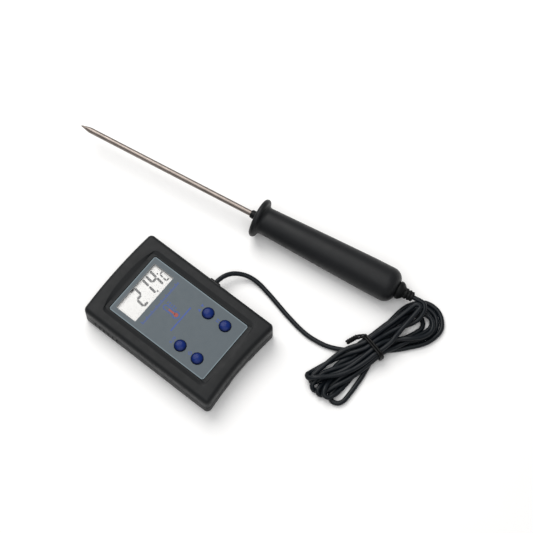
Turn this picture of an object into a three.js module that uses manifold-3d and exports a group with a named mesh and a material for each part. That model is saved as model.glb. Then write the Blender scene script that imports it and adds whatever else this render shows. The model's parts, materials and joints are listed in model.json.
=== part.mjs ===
// Digital thermometer with a penetration probe on a cord.
// Millimetres, +Z up. The origin is on the resting plane below the middle of the case.
// +Y runs along the case towards its display end, +X towards the side the cord leaves.
import * as THREE from "three";
import { mergeVertices } from "three/addons/utils/BufferGeometryUtils.js";
import Module from "manifold-3d";

const wasm = await Module();
wasm.setup();

// ---------------------------------------------------------------- driving dimensions
// Case
const CASE_HALF_X = 35.5;
const CASE_HALF_Y = 53.9; // at the corners; both ends are slightly curved
const END_BULGE = 1.3; // of the display end
const END_HOLLOW = 1.7; // of the other end
const CASE_HEIGHT = 20;
const CASE_CORNER = 3.4;
const CASE_WALL = 2.2;
const TOP_EDGE = { out: 3, up: 3.5, steps: 3 }; // the rounding of the front case's top edge
const SPLIT_Z = 9; // parting plane between rear and front case
const FLOOR = 2.4;
const TOP_PLATE_Z = 17.2; // underside of the front case's top plate

// Label and its bed
const LABEL_HALF_X = 24;
const LABEL_HALF_Y = 40.4;
const LABEL_CORNER = 1.6;
const LABEL_BED_Z = 18.8;
const LABEL_THICK = 0.3;
const LABEL_GAP = 0.25;

// Display
const WINDOW = { x: -0.3, y: 28.95, halfX: 20.1, halfY: 8.45 };
const PANE_LIP = 1.6; // the pane is larger than its opening by this much on each side

// Buttons
const BUTTON_X = 14.6;
const BUTTON_Y = [-13.6, -28.1];
const BUTTON_RADIUS = 4.2;
const BUTTON_GAP = 0.25;
const BUTTON_DOME = 1.5;
const PLUNGER_TOP_Z = 15.9;

// Circuit board and batteries
const BOARD_Z = 12.8;
const BOARD_TOP_Z = BOARD_Z + 1.2;
const BATTERY_RADIUS = 5.25;
const BATTERY_BODY = 43.5;
const BATTERY_NUB = 1;
const BATTERY_X = 5.6;
const BATTERY_Z = 7.2;
const BAY_END_Y = -48.8; // inner face of the battery bay's wall at the door end
const BAY_TOP_Y = -1; // inner face of the battery bay's other wall
const DOOR_HALF_X = 13.9;
const DOOR_GAP = 0.3;
const SCOOP = { halfX: 13.4, ramp: 5, height: 4, wallY: -51.3 }; // finger scoop in the door's end

// Fasteners
const CASE_SCREWS = [[29.5, 47.3], [-29.5, 47.3], [-29.5, -46.6], [29.5, -46.6]];
const BOARD_SCREWS = [[27.5, 6], [-27.5, 6]];

// Cord
const CORD_RADIUS = 1.65;
const CORD_BORE = 1.85; // of the grommet and the boot
const CORD_EXIT = new THREE.Vector3(37.5, -1, SPLIT_Z); // the cord bends here
const BEND_GAP = 0.3; // each length of cord stops this far from the point it bends about
const TIE_RADIUS = 0.65;

// Probe, along its own axis: 0 is the finger guard, +Y points to the needle's tip
const GUARD_RADIUS = 13.95;
const HANDLE_REAR = -106.3;
const HANDLE_REAR_RADIUS = 12.1;
const HANDLE_FRONT_RADIUS = 9.7;
const HANDLE_SHOULDER = 8; // radius that rounds the handle's rear end
const BOOT_END = -118.2;
const BOOT_RADIUS = 4.3; // of its largest rib
const TAIL_START = -119.6;
const SWING_PIVOT = -122; // the cord bends here, so its two lengths stop short of it
const STEM_RADIUS = 2;
const STEM_TIP = 142.8;
const STEM_REAR = -34;
const WIRE_SPREAD = 2.4; // of the two sensor wires in the handle, to each side of its axis
const PROBE_PLACE = new THREE.Vector3(92, 4.05, GUARD_RADIUS);
const PROBE_YAW = THREE.MathUtils.degToRad(9.6);
const PROBE_TILT = Math.asin((GUARD_RADIUS - HANDLE_REAR_RADIUS) / -(HANDLE_REAR + HANDLE_SHOULDER));

// ---------------------------------------------------------------- materials
function plastic(color, roughness) {
  return new THREE.MeshStandardMaterial({ color, roughness, metalness: 0 });
}

function metal(color, roughness) {
  return new THREE.MeshStandardMaterial({ color, roughness, metalness: 1 });
}

const charcoal = plastic(0x3b3d3f, 0.55);
const handleBlack = plastic(0x2a2c2f, 0.6);
const cordVinyl = plastic(0x262d33, 0.45);
const labelGrey = plastic(0x67727a, 0.5);
const buttonBlue = plastic(0x1c2f80, 0.3);
const glossBlack = plastic(0x0c0d0e, 0.25);
const boardGreen = plastic(0x1e5b3a, 0.5);
const displayGrey = plastic(0xd9dcd6, 0.3);
const clear = plastic(0xf4f7f7, 0.05);
const switchBlack = plastic(0x1a1a1c, 0.5);
const plungerWhite = plastic(0xd8d5cc, 0.5);
const batteryWrap = plastic(0x8a8f94, 0.35);
const wireRed = plastic(0xa2201c, 0.5);
const wireBlack = plastic(0x151515, 0.5);
const steel = metal(0x968a80, 0.3);
const spring = metal(0xc9c9c4, 0.3);
const brass = metal(0xb8964a, 0.35);

// ---------------------------------------------------------------- shape helpers
/** A closed geometry as a manifold solid: shared corners merged, flat triangles dropped. */
function solid(geometry) {
  const bare = geometry.clone();
  bare.deleteAttribute("normal");
  bare.deleteAttribute("uv");
  const merged = mergeVertices(bare, 1e-4);
  const corners = merged.index.array;
  const kept = [];
  for (let i = 0; i < corners.length; i += 3) {
    const [a, b, c] = corners.slice(i, i + 3);
    if (a !== b && b !== c && c !== a) kept.push(a, b, c);
  }
  return new wasm.Manifold(new wasm.Mesh({
    numProp: 3,
    vertProperties: new Float32Array(merged.attributes.position.array),
    triVerts: new Uint32Array(kept),
  }));
}

function geometryOf(manifold) {
  const mesh = manifold.getMesh();
  const geometry = new THREE.BufferGeometry();
  geometry.setAttribute("position", new THREE.BufferAttribute(mesh.vertProperties, 3));
  geometry.setIndex(new THREE.BufferAttribute(mesh.triVerts, 1));
  geometry.computeVertexNormals();
  return geometry;
}

function union(solids) {
  return solids.reduce((whole, next) => whole.add(next));
}

function cut(whole, solids) {
  return solids.reduce((left, next) => left.subtract(next), whole);
}

function boxGeometry(x, y, z) {
  const geometry = new THREE.BoxGeometry(x[1] - x[0], y[1] - y[0], z[1] - z[0]);
  return geometry.translate((x[0] + x[1]) / 2, (y[0] + y[1]) / 2, (z[0] + z[1]) / 2);
}

/** A box from its [low, high] spans. */
function box(x, y, z) {
  return solid(boxGeometry(x, y, z));
}

/** An upright round rod. */
function rodGeometry(radius, z, x = 0, y = 0, sides = 24) {
  const geometry = new THREE.CylinderGeometry(radius, radius, z[1] - z[0], sides);
  return geometry.rotateX(Math.PI / 2).translate(x, y, (z[0] + z[1]) / 2);
}

function rod(radius, z, x, y, sides) {
  return solid(rodGeometry(radius, z, x, y, sides));
}

/** A flat outline raised between two heights, with an optional sloped or rounded edge at both ends. */
function raise(shape, z, edge = {}) {
  const { out = 0, up = 0, steps = 1, inset = 0, curveSegments = 4 } = edge;
  const geometry = new THREE.ExtrudeGeometry(shape, {
    depth: z[1] - z[0] - 2 * up,
    bevelEnabled: up > 0,
    bevelThickness: up,
    bevelSize: out,
    bevelOffset: inset - out,
    bevelSegments: steps,
    curveSegments,
  });
  return geometry.translate(0, 0, z[0] + up);
}

function roundedRectangle(halfX, halfY, radius, x = 0, y = 0) {
  const shape = new THREE.Shape();
  shape.absarc(x + halfX - radius, y - halfY + radius, radius, -Math.PI / 2, 0);
  shape.absarc(x + halfX - radius, y + halfY - radius, radius, 0, Math.PI / 2);
  shape.absarc(x - halfX + radius, y + halfY - radius, radius, Math.PI / 2, Math.PI);
  shape.absarc(x - halfX + radius, y - halfY + radius, radius, Math.PI, 1.5 * Math.PI);
  return shape;
}

/** A turned piece: [radius, y] points, listed from the rear (low y) of the outside to its front. */
function turned(profile, sides = 24) {
  const points = profile.map(([radius, y]) => new THREE.Vector2(radius, y));
  return geometryOf(solid(new THREE.LatheGeometry(points, sides)));
}

/** A round wire along a curve, with flat ends. */
function wire(curve, radius, steps, sides = 6) {
  const section = new THREE.Shape();
  for (let i = 0; i < sides; i += 1) {
    const turn = (2 * Math.PI * i) / sides;
    const [x, y] = [radius * Math.cos(turn), radius * Math.sin(turn)];
    if (i === 0) section.moveTo(x, y);
    else section.lineTo(x, y);
  }
  section.closePath();
  curve.arcLengthDivisions = 4 * steps;
  return new THREE.ExtrudeGeometry(section, { steps, extrudePath: curve, bevelEnabled: false });
}

function smoothCurve(points) {
  return new THREE.CatmullRomCurve3(points, false, "centripetal");
}

function piece(name, geometry, material) {
  const mesh = new THREE.Mesh(geometry, material);
  mesh.name = name;
  return mesh;
}

// ---------------------------------------------------------------- case shells
/** The case seen from above, drawn in by inset all round. */
function caseOutline(inset) {
  const x = CASE_HALF_X - inset;
  const y = CASE_HALF_Y - inset;
  const radius = Math.max(CASE_CORNER - inset, 1);
  const shape = new THREE.Shape();
  shape.moveTo(-x + radius, -y);
  shape.quadraticCurveTo(0, -y + 2 * END_HOLLOW, x - radius, -y);
  shape.absarc(x - radius, -y + radius, radius, -Math.PI / 2, 0);
  shape.absarc(x - radius, y - radius, radius, 0, Math.PI / 2);
  shape.quadraticCurveTo(0, y + 2 * END_BULGE, -x + radius, y);
  shape.absarc(-x + radius, y - radius, radius, Math.PI / 2, Math.PI);
  shape.absarc(-x + radius, -y + radius, radius, Math.PI, 1.5 * Math.PI);
  return shape;
}

const FAR = 60; // reaches well past the case in any direction

/** The hollow scooped beside the label's end: a low arc from corner to corner of the label. */
function endHollow(side, reach, depth) {
  const chord = LABEL_HALF_Y - 2;
  const halfWidth = LABEL_HALF_X + 2.3;
  const shape = new THREE.Shape();
  shape.moveTo(-halfWidth, chord);
  shape.lineTo(halfWidth, chord);
  shape.lineTo(halfWidth, LABEL_HALF_Y + 2.2);
  shape.quadraticCurveTo(0, 2 * reach - LABEL_HALF_Y - 2.2, -halfWidth, LABEL_HALF_Y + 2.2);
  const slope = { out: 1, up: depth, curveSegments: 10 };
  const scoop = raise(shape, [CASE_HEIGHT - depth, CASE_HEIGHT + 4], slope);
  if (side < 0) scoop.rotateZ(Math.PI);
  return solid(scoop);
}

function cordNotch() {
  return box([30, CASE_HALF_X + 1], [CORD_EXIT.y - 3, CORD_EXIT.y + 3], [SPLIT_Z - 3, SPLIT_Z + 3]);
}

function frontCase() {
  const outside = solid(raise(caseOutline(0), [SPLIT_Z - 6, CASE_HEIGHT], TOP_EDGE));
  const below = box([-FAR, FAR], [-FAR, FAR], [-FAR, SPLIT_Z]);
  const inside = solid(raise(caseOutline(CASE_WALL), [0, TOP_PLATE_Z]));
  const bed = roundedRectangle(LABEL_HALF_X + LABEL_GAP, LABEL_HALF_Y + LABEL_GAP, LABEL_CORNER);
  const bedSlope = { out: 2.2, up: 0.8, inset: 2.2 };
  const shell = cut(outside, [
    below,
    inside,
    solid(raise(bed, [LABEL_BED_Z, CASE_HEIGHT + 1])),
    solid(raise(bed, [CASE_HEIGHT - bedSlope.up, CASE_HEIGHT + 4], bedSlope)),
    endHollow(1, 48.75, 1.1),
    endHollow(-1, 45.6, 0.7),
  ]);
  const postTop = TOP_PLATE_Z + 0.5;
  const screwBosses = CASE_SCREWS.map(([x, y]) => rod(3.2, [SPLIT_Z + 0.1, postTop], x, y, 16));
  const boardPosts = BOARD_SCREWS.map(([x, y]) => rod(2.4, [BOARD_TOP_Z + 0.05, postTop], x, y, 12));
  const pilotHoles = [
    ...CASE_SCREWS.map(([x, y]) => rod(1.15, [SPLIT_Z, 15], x, y, 10)),
    ...BOARD_SCREWS.map(([x, y]) => rod(0.95, [BOARD_Z, 17], x, y, 8)),
  ];
  const through = [TOP_PLATE_Z - 1, CASE_HEIGHT];
  const opening = solid(raise(windowOutline(), through, { curveSegments: 2 }));
  const rebate = solid(displayBlock(PANE_LIP + 0.2, [TOP_PLATE_Z - 1, TOP_PLATE_Z + 0.9]));
  const buttonHoles = buttonPlaces().map(([x, y]) => rod(BUTTON_RADIUS + BUTTON_GAP, through, x, y));
  const whole = union([shell, ...screwBosses, ...boardPosts]);
  return geometryOf(cut(whole, [...pilotHoles, opening, rebate, ...buttonHoles, cordNotch()]));
}

/** The rear case's outside before its openings are cut; the battery cover is part of the same form. */
function rearForm() {
  const form = solid(raise(caseOutline(0), [0, SPLIT_Z + 8], { out: 2.4, up: 2.4, steps: 2 }));
  return form.subtract(box([-FAR, FAR], [-FAR, FAR], [SPLIT_Z, FAR]));
}

function gripRibs() {
  const ribs = [];
  for (let i = 0; i < 6; i += 1) {
    for (const side of [-1, 1]) {
      ribs.push(rod(0.8, [3, 8], side * (CASE_HALF_X - 0.35), 44 - 3.8 * i, 8));
    }
  }
  return ribs;
}

function rearCase() {
  const inside = solid(raise(caseOutline(CASE_WALL), [FLOOR, SPLIT_Z + 3]));
  const lip = caseOutline(CASE_WALL + 0.15);
  lip.holes.push(caseOutline(CASE_WALL + 1.15));
  const bayWall = DOOR_HALF_X + 0.5;
  const rib = 1; // thickness of the bay's walls
  const bay = [
    box([-bayWall - rib, -bayWall], [BAY_END_Y - rib, BAY_TOP_Y + rib], [FLOOR - 0.4, SPLIT_Z]),
    box([bayWall, bayWall + rib], [BAY_END_Y - rib, BAY_TOP_Y + rib], [FLOOR - 0.4, SPLIT_Z]),
    box([-bayWall - rib, bayWall + rib], [BAY_END_Y - rib, BAY_END_Y], [FLOOR, SPLIT_Z]),
    box([-bayWall - rib, bayWall + rib], [BAY_TOP_Y, BAY_TOP_Y + rib], [FLOOR - 0.4, SPLIT_Z]),
  ];
  const cradles = [-38, -14].flatMap((y) => [-1, 1].map((side) => {
    const inner = BATTERY_X + BATTERY_RADIUS + 0.3;
    const span = [side * inner, side * (bayWall + 0.5)].sort((a, b) => a - b);
    return box(span, [y - 1, y + 1], [4, SPLIT_Z]);
  }));
  const whole = union([
    rearForm().subtract(inside),
    solid(raise(lip, [SPLIT_Z - 1, SPLIT_Z + 1])),
    ...CASE_SCREWS.map(([x, y]) => rod(3.2, [1, SPLIT_Z], x, y, 16)),
    ...bay,
    ...cradles,
    ...gripRibs(),
  ]);
  const doorway = DOOR_HALF_X + DOOR_GAP;
  const doorwayTop = BAY_TOP_Y - 1.4;
  return geometryOf(cut(whole, [
    ...CASE_SCREWS.map(([x, y]) => rod(2.7, [-1, 3.5], x, y, 16)),
    ...CASE_SCREWS.map(([x, y]) => rod(1.35, [3, SPLIT_Z + 1], x, y, 10)),
    ...CASE_SCREWS.map(([x, y]) => rod(3.5, [SPLIT_Z, SPLIT_Z + 2], x, y, 16)),
    box([-doorway, doorway], [-FAR, doorwayTop], [-1, FLOOR]),
    box([-doorway - 1.3, doorway + 1.3], [-FAR, doorwayTop], [0.9, 1.9]), // grooves for the door's runners
    box([-doorway, doorway], [-FAR, BAY_END_Y - rib], [-1, SPLIT_Z - 0.5]),
    cordNotch(),
  ]));
}

/** What the finger scoop takes from the door's end: full height in the middle, ramps to both sides. */
function scoop() {
  const { halfX, ramp, height, wallY } = SCOOP;
  const shape = new THREE.Shape();
  shape.moveTo(-halfX, -1);
  shape.lineTo(-halfX, 0);
  shape.bezierCurveTo(-halfX + ramp / 2, 0, -halfX + ramp / 2, height, -halfX + ramp, height);
  shape.lineTo(halfX - ramp, height);
  shape.bezierCurveTo(halfX - ramp / 2, height, halfX - ramp / 2, 0, halfX, 0);
  shape.lineTo(halfX, -1);
  return solid(raise(shape, [0, 4]).rotateX(Math.PI / 2).translate(0, wallY, 0));
}

function batteryCover() {
  const top = SPLIT_Z - 0.5 - DOOR_GAP;
  const innerEnd = BAY_TOP_Y - 1.4 - DOOR_GAP;
  const slab = rearForm().intersect(box([-DOOR_HALF_X, DOOR_HALF_X], [-FAR, innerEnd], [-1, top]));
  const hollow = box([-FAR, FAR], [BAY_END_Y - 1.4, FAR], [1.8, FAR]);
  const runners = box([-DOOR_HALF_X - 1.2, DOOR_HALF_X + 1.2], [-48, -6], [1.05, 1.75]);
  return geometryOf(slab.subtract(hollow).subtract(scoop()).add(runners));
}

// ---------------------------------------------------------------- face: label, display, buttons
function buttonPlaces() {
  return BUTTON_Y.flatMap((y) => [[-BUTTON_X, y], [BUTTON_X, y]]);
}

function windowOutline() {
  return roundedRectangle(WINDOW.halfX, WINDOW.halfY, 0.6, WINDOW.x, WINDOW.y);
}

function faceLabel() {
  const sheet = roundedRectangle(LABEL_HALF_X, LABEL_HALF_Y, LABEL_CORNER);
  sheet.holes.push(windowOutline());
  for (const [x, y] of buttonPlaces()) {
    const hole = new THREE.Path();
    hole.absarc(x, y, BUTTON_RADIUS + BUTTON_GAP, 0, 2 * Math.PI);
    sheet.holes.push(hole);
  }
  return raise(sheet, [LABEL_BED_Z + 0.02, LABEL_BED_Z + LABEL_THICK], { curveSegments: 6 });
}

/** A flat block centred below the display opening, larger than it by margin. */
function displayBlock(margin, z) {
  const halfX = WINDOW.halfX + margin;
  const halfY = WINDOW.halfY + margin;
  return boxGeometry([WINDOW.x - halfX, WINDOW.x + halfX], [WINDOW.y - halfY, WINDOW.y + halfY], z);
}

function displayFrame() {
  const outer = solid(displayBlock(3.2, [BOARD_TOP_Z + 0.05, TOP_PLATE_Z - 0.1]));
  return geometryOf(outer.subtract(solid(displayBlock(2.2, [BOARD_Z, TOP_PLATE_Z]))));
}

function contactStrip(side) {
  const y = WINDOW.y + side * (WINDOW.halfY + 0.4);
  const z = [BOARD_TOP_Z + 0.05, BOARD_TOP_Z + 1.05];
  return boxGeometry([WINDOW.x - WINDOW.halfX, WINDOW.x + WINDOW.halfX], [y - 1, y + 1], z);
}

/** Domed cap, retaining flange and the stem that presses the switch, turned about an upright axis. */
function button() {
  const rim = LABEL_BED_Z + LABEL_THICK + 0.35;
  const top = rim + BUTTON_DOME;
  const domeRadius = (BUTTON_RADIUS ** 2 + BUTTON_DOME ** 2) / (2 * BUTTON_DOME);
  const halfAngle = Math.asin(BUTTON_RADIUS / domeRadius);
  const flange = { radius: BUTTON_RADIUS + 0.9, low: PLUNGER_TOP_Z + 0.35, high: TOP_PLATE_Z - 0.2 };
  const dome = [3, 2, 1].map((third) => {
    const angle = (halfAngle * third) / 3;
    return [domeRadius * Math.sin(angle), top - domeRadius * (1 - Math.cos(angle))];
  });
  return turned([
    [0, PLUNGER_TOP_Z + 0.05],
    [1.4, PLUNGER_TOP_Z + 0.05],
    [1.4, flange.low],
    [flange.radius, flange.low],
    [flange.radius, flange.high],
    [BUTTON_RADIUS, flange.high],
    ...dome,
    [0, top],
  ], 20).rotateX(Math.PI / 2);
}

// ---------------------------------------------------------------- inside the case
function circuitBoard() {
  const outline = roundedRectangle(31, 43.1, 1);
  for (const [x, y] of BOARD_SCREWS) {
    const hole = new THREE.Path();
    hole.absarc(x, y, 1.25, 0, 2 * Math.PI);
    outline.holes.push(hole);
  }
  return raise(outline, [BOARD_Z, BOARD_TOP_Z], { curveSegments: 4 });
}

/** The cap of resin over the chip bonded to the board. */
function chipCover() {
  const cap = turned([[0, 0], [4.5, 0], [4, 0.7], [2, 1.1], [0, 1.2]], 16);
  return cap.rotateX(Math.PI / 2).translate(0, 2.5, BOARD_TOP_Z + 0.05);
}

function switchBody() {
  const block = box([-3, 3], [-3, 3], [BOARD_TOP_Z + 0.05, BOARD_TOP_Z + 1.2]);
  const socket = rod(1.8, [BOARD_TOP_Z + 0.35, BOARD_TOP_Z + 3], 0, 0, 16);
  return geometryOf(block.subtract(socket));
}

/** A screw standing on its point: head below, shank up. */
function screw(headRadius, headZ, shankRadius, tipZ) {
  const slotDepth = 0.6;
  const head = rod(headRadius, headZ, 0, 0, 12);
  const cross = union([
    box([-headRadius * 0.65, headRadius * 0.65], [-0.3, 0.3], [headZ[0] - 1, headZ[0] + slotDepth]),
    box([-0.3, 0.3], [-headRadius * 0.65, headRadius * 0.65], [headZ[0] - 1, headZ[0] + slotDepth]),
  ]);
  return geometryOf(head.add(rod(shankRadius, [headZ[1] - 0.2, tipZ], 0, 0, 8)).subtract(cross));
}

/** One battery lying along Y, its nub towards +Y at the origin. */
function battery() {
  const shoulder = -BATTERY_NUB;
  const flatEnd = shoulder - BATTERY_BODY;
  return turned([
    [0, flatEnd],
    [BATTERY_RADIUS - 0.4, flatEnd],
    [BATTERY_RADIUS, flatEnd + 0.4],
    [BATTERY_RADIUS, shoulder - 0.4],
    [BATTERY_RADIUS - 0.4, shoulder],
    [1.9, shoulder],
    [1.9, 0],
    [0, 0],
  ], 18);
}

/** A conical battery spring along Y from the origin, wide end first. */
function batterySpring(length) {
  const turns = 2.5;
  const points = [];
  for (let i = 0; i <= 20; i += 1) {
    const along = i / 20;
    const angle = 2 * Math.PI * turns * along;
    const radius = 3.6 - 1.3 * along;
    const y = 0.3 + (length - 0.6) * along;
    points.push(new THREE.Vector3(radius * Math.cos(angle), y, radius * Math.sin(angle)));
  }
  return wire(smoothCurve(points), 0.25, 26, 4);
}

/** A contact plate against a bay wall, kept below the rear case's locating lip. */
function contactPlate(x, y) {
  return boxGeometry(x, y, [BATTERY_Z - 4.2, SPLIT_Z - 1.2]);
}

function grommet() {
  const halfNeck = 2.75;
  const face = raise(roundedRectangle(4.3, 3.2, 1.2), [0, 2.3], { out: 0.6, up: 0.6, curveSegments: 3 });
  face.rotateX(Math.PI / 2).rotateZ(Math.PI / 2).translate(CASE_HALF_X + 0.15, CORD_EXIT.y, SPLIT_Z);
  const neck = box(
    [CASE_HALF_X - CASE_WALL - 1.6, CASE_HALF_X + 0.4],
    [CORD_EXIT.y - halfNeck, CORD_EXIT.y + halfNeck],
    [SPLIT_Z - halfNeck, SPLIT_Z + halfNeck],
  );
  const bore = new THREE.CylinderGeometry(CORD_BORE, CORD_BORE, 12, 16).rotateZ(Math.PI / 2);
  bore.translate(CASE_HALF_X, CORD_EXIT.y, SPLIT_Z);
  return geometryOf(solid(face).add(neck).subtract(solid(bore)));
}

function caseLead() {
  const y = CORD_EXIT.y;
  return wire(smoothCurve([
    new THREE.Vector3(CORD_EXIT.x - BEND_GAP, y, SPLIT_Z),
    new THREE.Vector3(30, y, SPLIT_Z),
    new THREE.Vector3(25, y + 0.5, SPLIT_Z),
    new THREE.Vector3(22, y + 2, SPLIT_Z + 1),
    new THREE.Vector3(21.5, y + 2.6, BOARD_Z - 0.8),
  ]), CORD_RADIUS, 16, 10);
}

function cordStop() {
  return sleeve(1.8, 2.6, [-1.2, 1.2]).rotateZ(Math.PI / 2).translate(29.6, CORD_EXIT.y, SPLIT_Z);
}

// ---------------------------------------------------------------- cord and its hank
// The hank has its own plane axes: u from its tied waist towards the lobe at the boot, v across it.
const HANK_WAIST = new THREE.Vector3(68.5, -111.9, 0);
const HANK_TURN = THREE.MathUtils.degToRad(-14.6);
const STRAND_PITCH = 2 * CORD_RADIUS + 0.25;
const WAIST_ROWS = [0, 1, 2].map((row) => 2 * TIE_RADIUS + 0.2 + CORD_RADIUS + row * STRAND_PITCH * 0.866);

// Waist place [v in strand pitches, row] of each strand running to the boot lobe and of each one returning
const OUTWARD = [[1.5, 0], [0.5, 0], [2, 1], [1, 1], [0, 1], [1.5, 2]];
const RETURNING = [[-1.5, 0], [-0.5, 0], [-2, 1], [-1, 1], [-0.5, 2], [-1.5, 2]];
const LAST_STRAND = [0.5, 2];
const HALF_WAIST = 4; // the strands run side by side for this far to each side of the tie

// End arcs of the loops, lowest layer first: centre u, centre v, radius, how far the sides swell outwards,
// and how much higher the arriving side lies than the middle
const BOOT_LOOPS = [
  [38.5, -5, 12.3, 0.5, 0], [37.5, -4.6, 11, 0.5, 0], [36.5, -4, 9.4, 0.5, 0], [33, -2.2, 6.4, 1, 0],
  [34.5, -5.5, 9.6, 0, 0], [42.6, 5, 2, 0, 0],
];
const FREE_LOOPS = [
  [-36.8, -8.8, 6.2, 1, 0], [-44.8, -7.6, 2, 1, -2], [-47.3, -2.6, 2, 1, -2], [-47.6, 0.9, 2, 1.5, -2],
  [-46.6, 4.4, 2, 2, -2], [-44.4, 8.6, 2.8, 3.5, 2],
];

function hankPoint(u, v, z) {
  const c = Math.cos(HANK_TURN);
  const s = Math.sin(HANK_TURN);
  return new THREE.Vector3(HANK_WAIST.x + u * c - v * s, HANK_WAIST.y + u * s + v * c, z);
}

/** How far along and across the hank's waist a point lies. */
function acrossWaist(point) {
  const { x, y } = point.clone().sub(HANK_WAIST);
  const c = Math.cos(HANK_TURN);
  const s = Math.sin(HANK_TURN);
  return { u: x * c + y * s, v: y * c - x * s };
}

function waistPoint([place, row], u) {
  return hankPoint(u, place * STRAND_PITCH, WAIST_ROWS[row]);
}

/** Points round one loop's end, clockwise, with one more on each side on the way from and to the waist. */
function loopPoints([u, v, radius, swell, rise], from, to, z) {
  const facing = Math.atan2(v, u);
  const arc = [100, 50, 0, -50, -100].map((degrees) => {
    const angle = facing + THREE.MathUtils.degToRad(degrees);
    const height = z + (rise * degrees) / 100;
    return hankPoint(u + radius * Math.cos(angle), v + radius * Math.sin(angle), height);
  });
  const middle = hankPoint(u / 2, v / 2, z);
  const mouth = HALF_WAIST * Math.sign(u);
  const halfway = (slot, end) => {
    const point = waistPoint(slot, mouth).lerp(end, 0.5);
    const outwards = point.clone().sub(middle).setZ(0).normalize();
    return point.addScaledVector(outwards, swell);
  };
  return [halfway(from, arc[0]), ...arc, halfway(to, arc[4])];
}

/** The cord's centre line before it settles, from the grommet through the hank to the boot. */
function cordDraft(boot) {
  const lying = CORD_RADIUS + 0.15;
  const span = [
    [CORD_EXIT.x + BEND_GAP, CORD_EXIT.y, SPLIT_Z], [44.2, -1.9, 8.3], [50.8, -5.4, 6.8], [55.8, -12.5, 4.6],
    [57.4, -20.8, 2.8], [56, -31.7, lying], [51, -54.2, lying], [48.8, -68.7, lying], [49, -77.7, lying],
  ].map(([x, y, z]) => new THREE.Vector3(x, y, z));
  const points = [...span, hankPoint(-22.5, 18, lying), hankPoint(-13, 8, lying)];
  OUTWARD.forEach((outward, i) => {
    const z = CORD_RADIUS + 2.2 * i;
    const bootZ = i === 5 ? boot.z + 3.6 : z;
    const next = OUTWARD[i + 1] ?? LAST_STRAND;
    const returning = RETURNING[i];
    points.push(waistPoint(outward, -HALF_WAIST), waistPoint(outward, HALF_WAIST));
    points.push(...loopPoints(BOOT_LOOPS[i], outward, returning, bootZ));
    points.push(waistPoint(returning, HALF_WAIST), waistPoint(returning, -HALF_WAIST));
    points.push(...loopPoints(FREE_LOOPS[i], returning, next, z));
  });
  const along = probeDirection();
  points.push(
    waistPoint(LAST_STRAND, -HALF_WAIST),
    waistPoint(LAST_STRAND, HALF_WAIST),
    hankPoint(20, 1, 10.5),
    hankPoint(36, -3, 10.8),
    boot.clone().addScaledVector(along, -6).add(new THREE.Vector3(-1.5, 0, -0.4)),
    boot.clone().addScaledVector(along, -2.5),
    boot.clone().addScaledVector(along, -BEND_GAP),
  );
  return points;
}

/** Moves a cord point off the boot and the tail behind it. */
function keepOffBoot(point) {
  const fromGuard = point.clone().sub(PROBE_PLACE);
  const along = THREE.MathUtils.clamp(fromGuard.dot(probeDirection()), SWING_PIVOT, HANDLE_REAR);
  const onAxis = PROBE_PLACE.clone().addScaledVector(probeDirection(), along);
  const radius = along < BOOT_END - 0.5 ? CORD_RADIUS : BOOT_RADIUS;
  const away = point.clone().sub(onAxis);
  const room = radius + CORD_RADIUS + 0.4;
  if (away.length() < room) point.copy(onAxis).addScaledVector(away.normalize(), room);
}

/** Lets the cord lie: it sinks, keeps off itself, the boot and the ground, and keeps its drawn curves. */
function settle(draft, isHeld, underBoot) {
  const apart = 2 * CORD_RADIUS + 0.25;
  const place = draft.map((p) => p.clone());
  const shift = draft.map(() => new THREE.Vector3());
  const held = draft.map(isHeld);
  const gap = new THREE.Vector3();
  for (let round = 0; round < 240; round += 1) {
    for (let i = 0; i < place.length; i += 1) {
      if (held[i]) continue;
      const mean = shift[i - 1].clone().add(shift[i + 1]).multiplyScalar(0.5);
      shift[i].lerp(mean, 0.5);
      shift[i].z -= 0.03;
      place[i].copy(draft[i]).add(shift[i]);
    }
    for (let i = 0; i < place.length; i += 1) {
      for (let j = i + 4; j < place.length; j += 1) {
        gap.subVectors(place[j], place[i]);
        const distance = gap.length();
        if (distance >= apart) continue;
        const share = held[i] || held[j] ? 1 : 0.5;
        gap.multiplyScalar((share * (apart - distance)) / Math.max(distance, 0.01));
        if (!held[j]) place[j].add(gap);
        if (!held[i]) place[i].sub(gap);
      }
    }
    for (let i = 0; i < place.length; i += 1) {
      if (held[i]) continue;
      if (i < underBoot) keepOffBoot(place[i]);
      place[i].z = Math.max(place[i].z, CORD_RADIUS + 0.1);
      shift[i].subVectors(place[i], draft[i]);
    }
  }
  return place;
}

const CORD_STEP = 2.6;

function cordCurve(boot) {
  const draft = smoothCurve(cordDraft(boot));
  draft.arcLengthDivisions = 4000;
  const count = Math.round(draft.getLength() / CORD_STEP);
  const points = draft.getSpacedPoints(count);
  const spanEnd = Math.round(60 / CORD_STEP);
  const bootStart = points.length - 4;
  const isTied = (p) => {
    const { u, v } = acrossWaist(p);
    return Math.abs(u) < HALF_WAIST && Math.abs(v) < 3 * STRAND_PITCH;
  };
  const isHeld = (p, i) => i < spanEnd || i >= bootStart || isTied(p);
  return smoothCurve(settle(points, isHeld, bootStart - 4));
}

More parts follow.
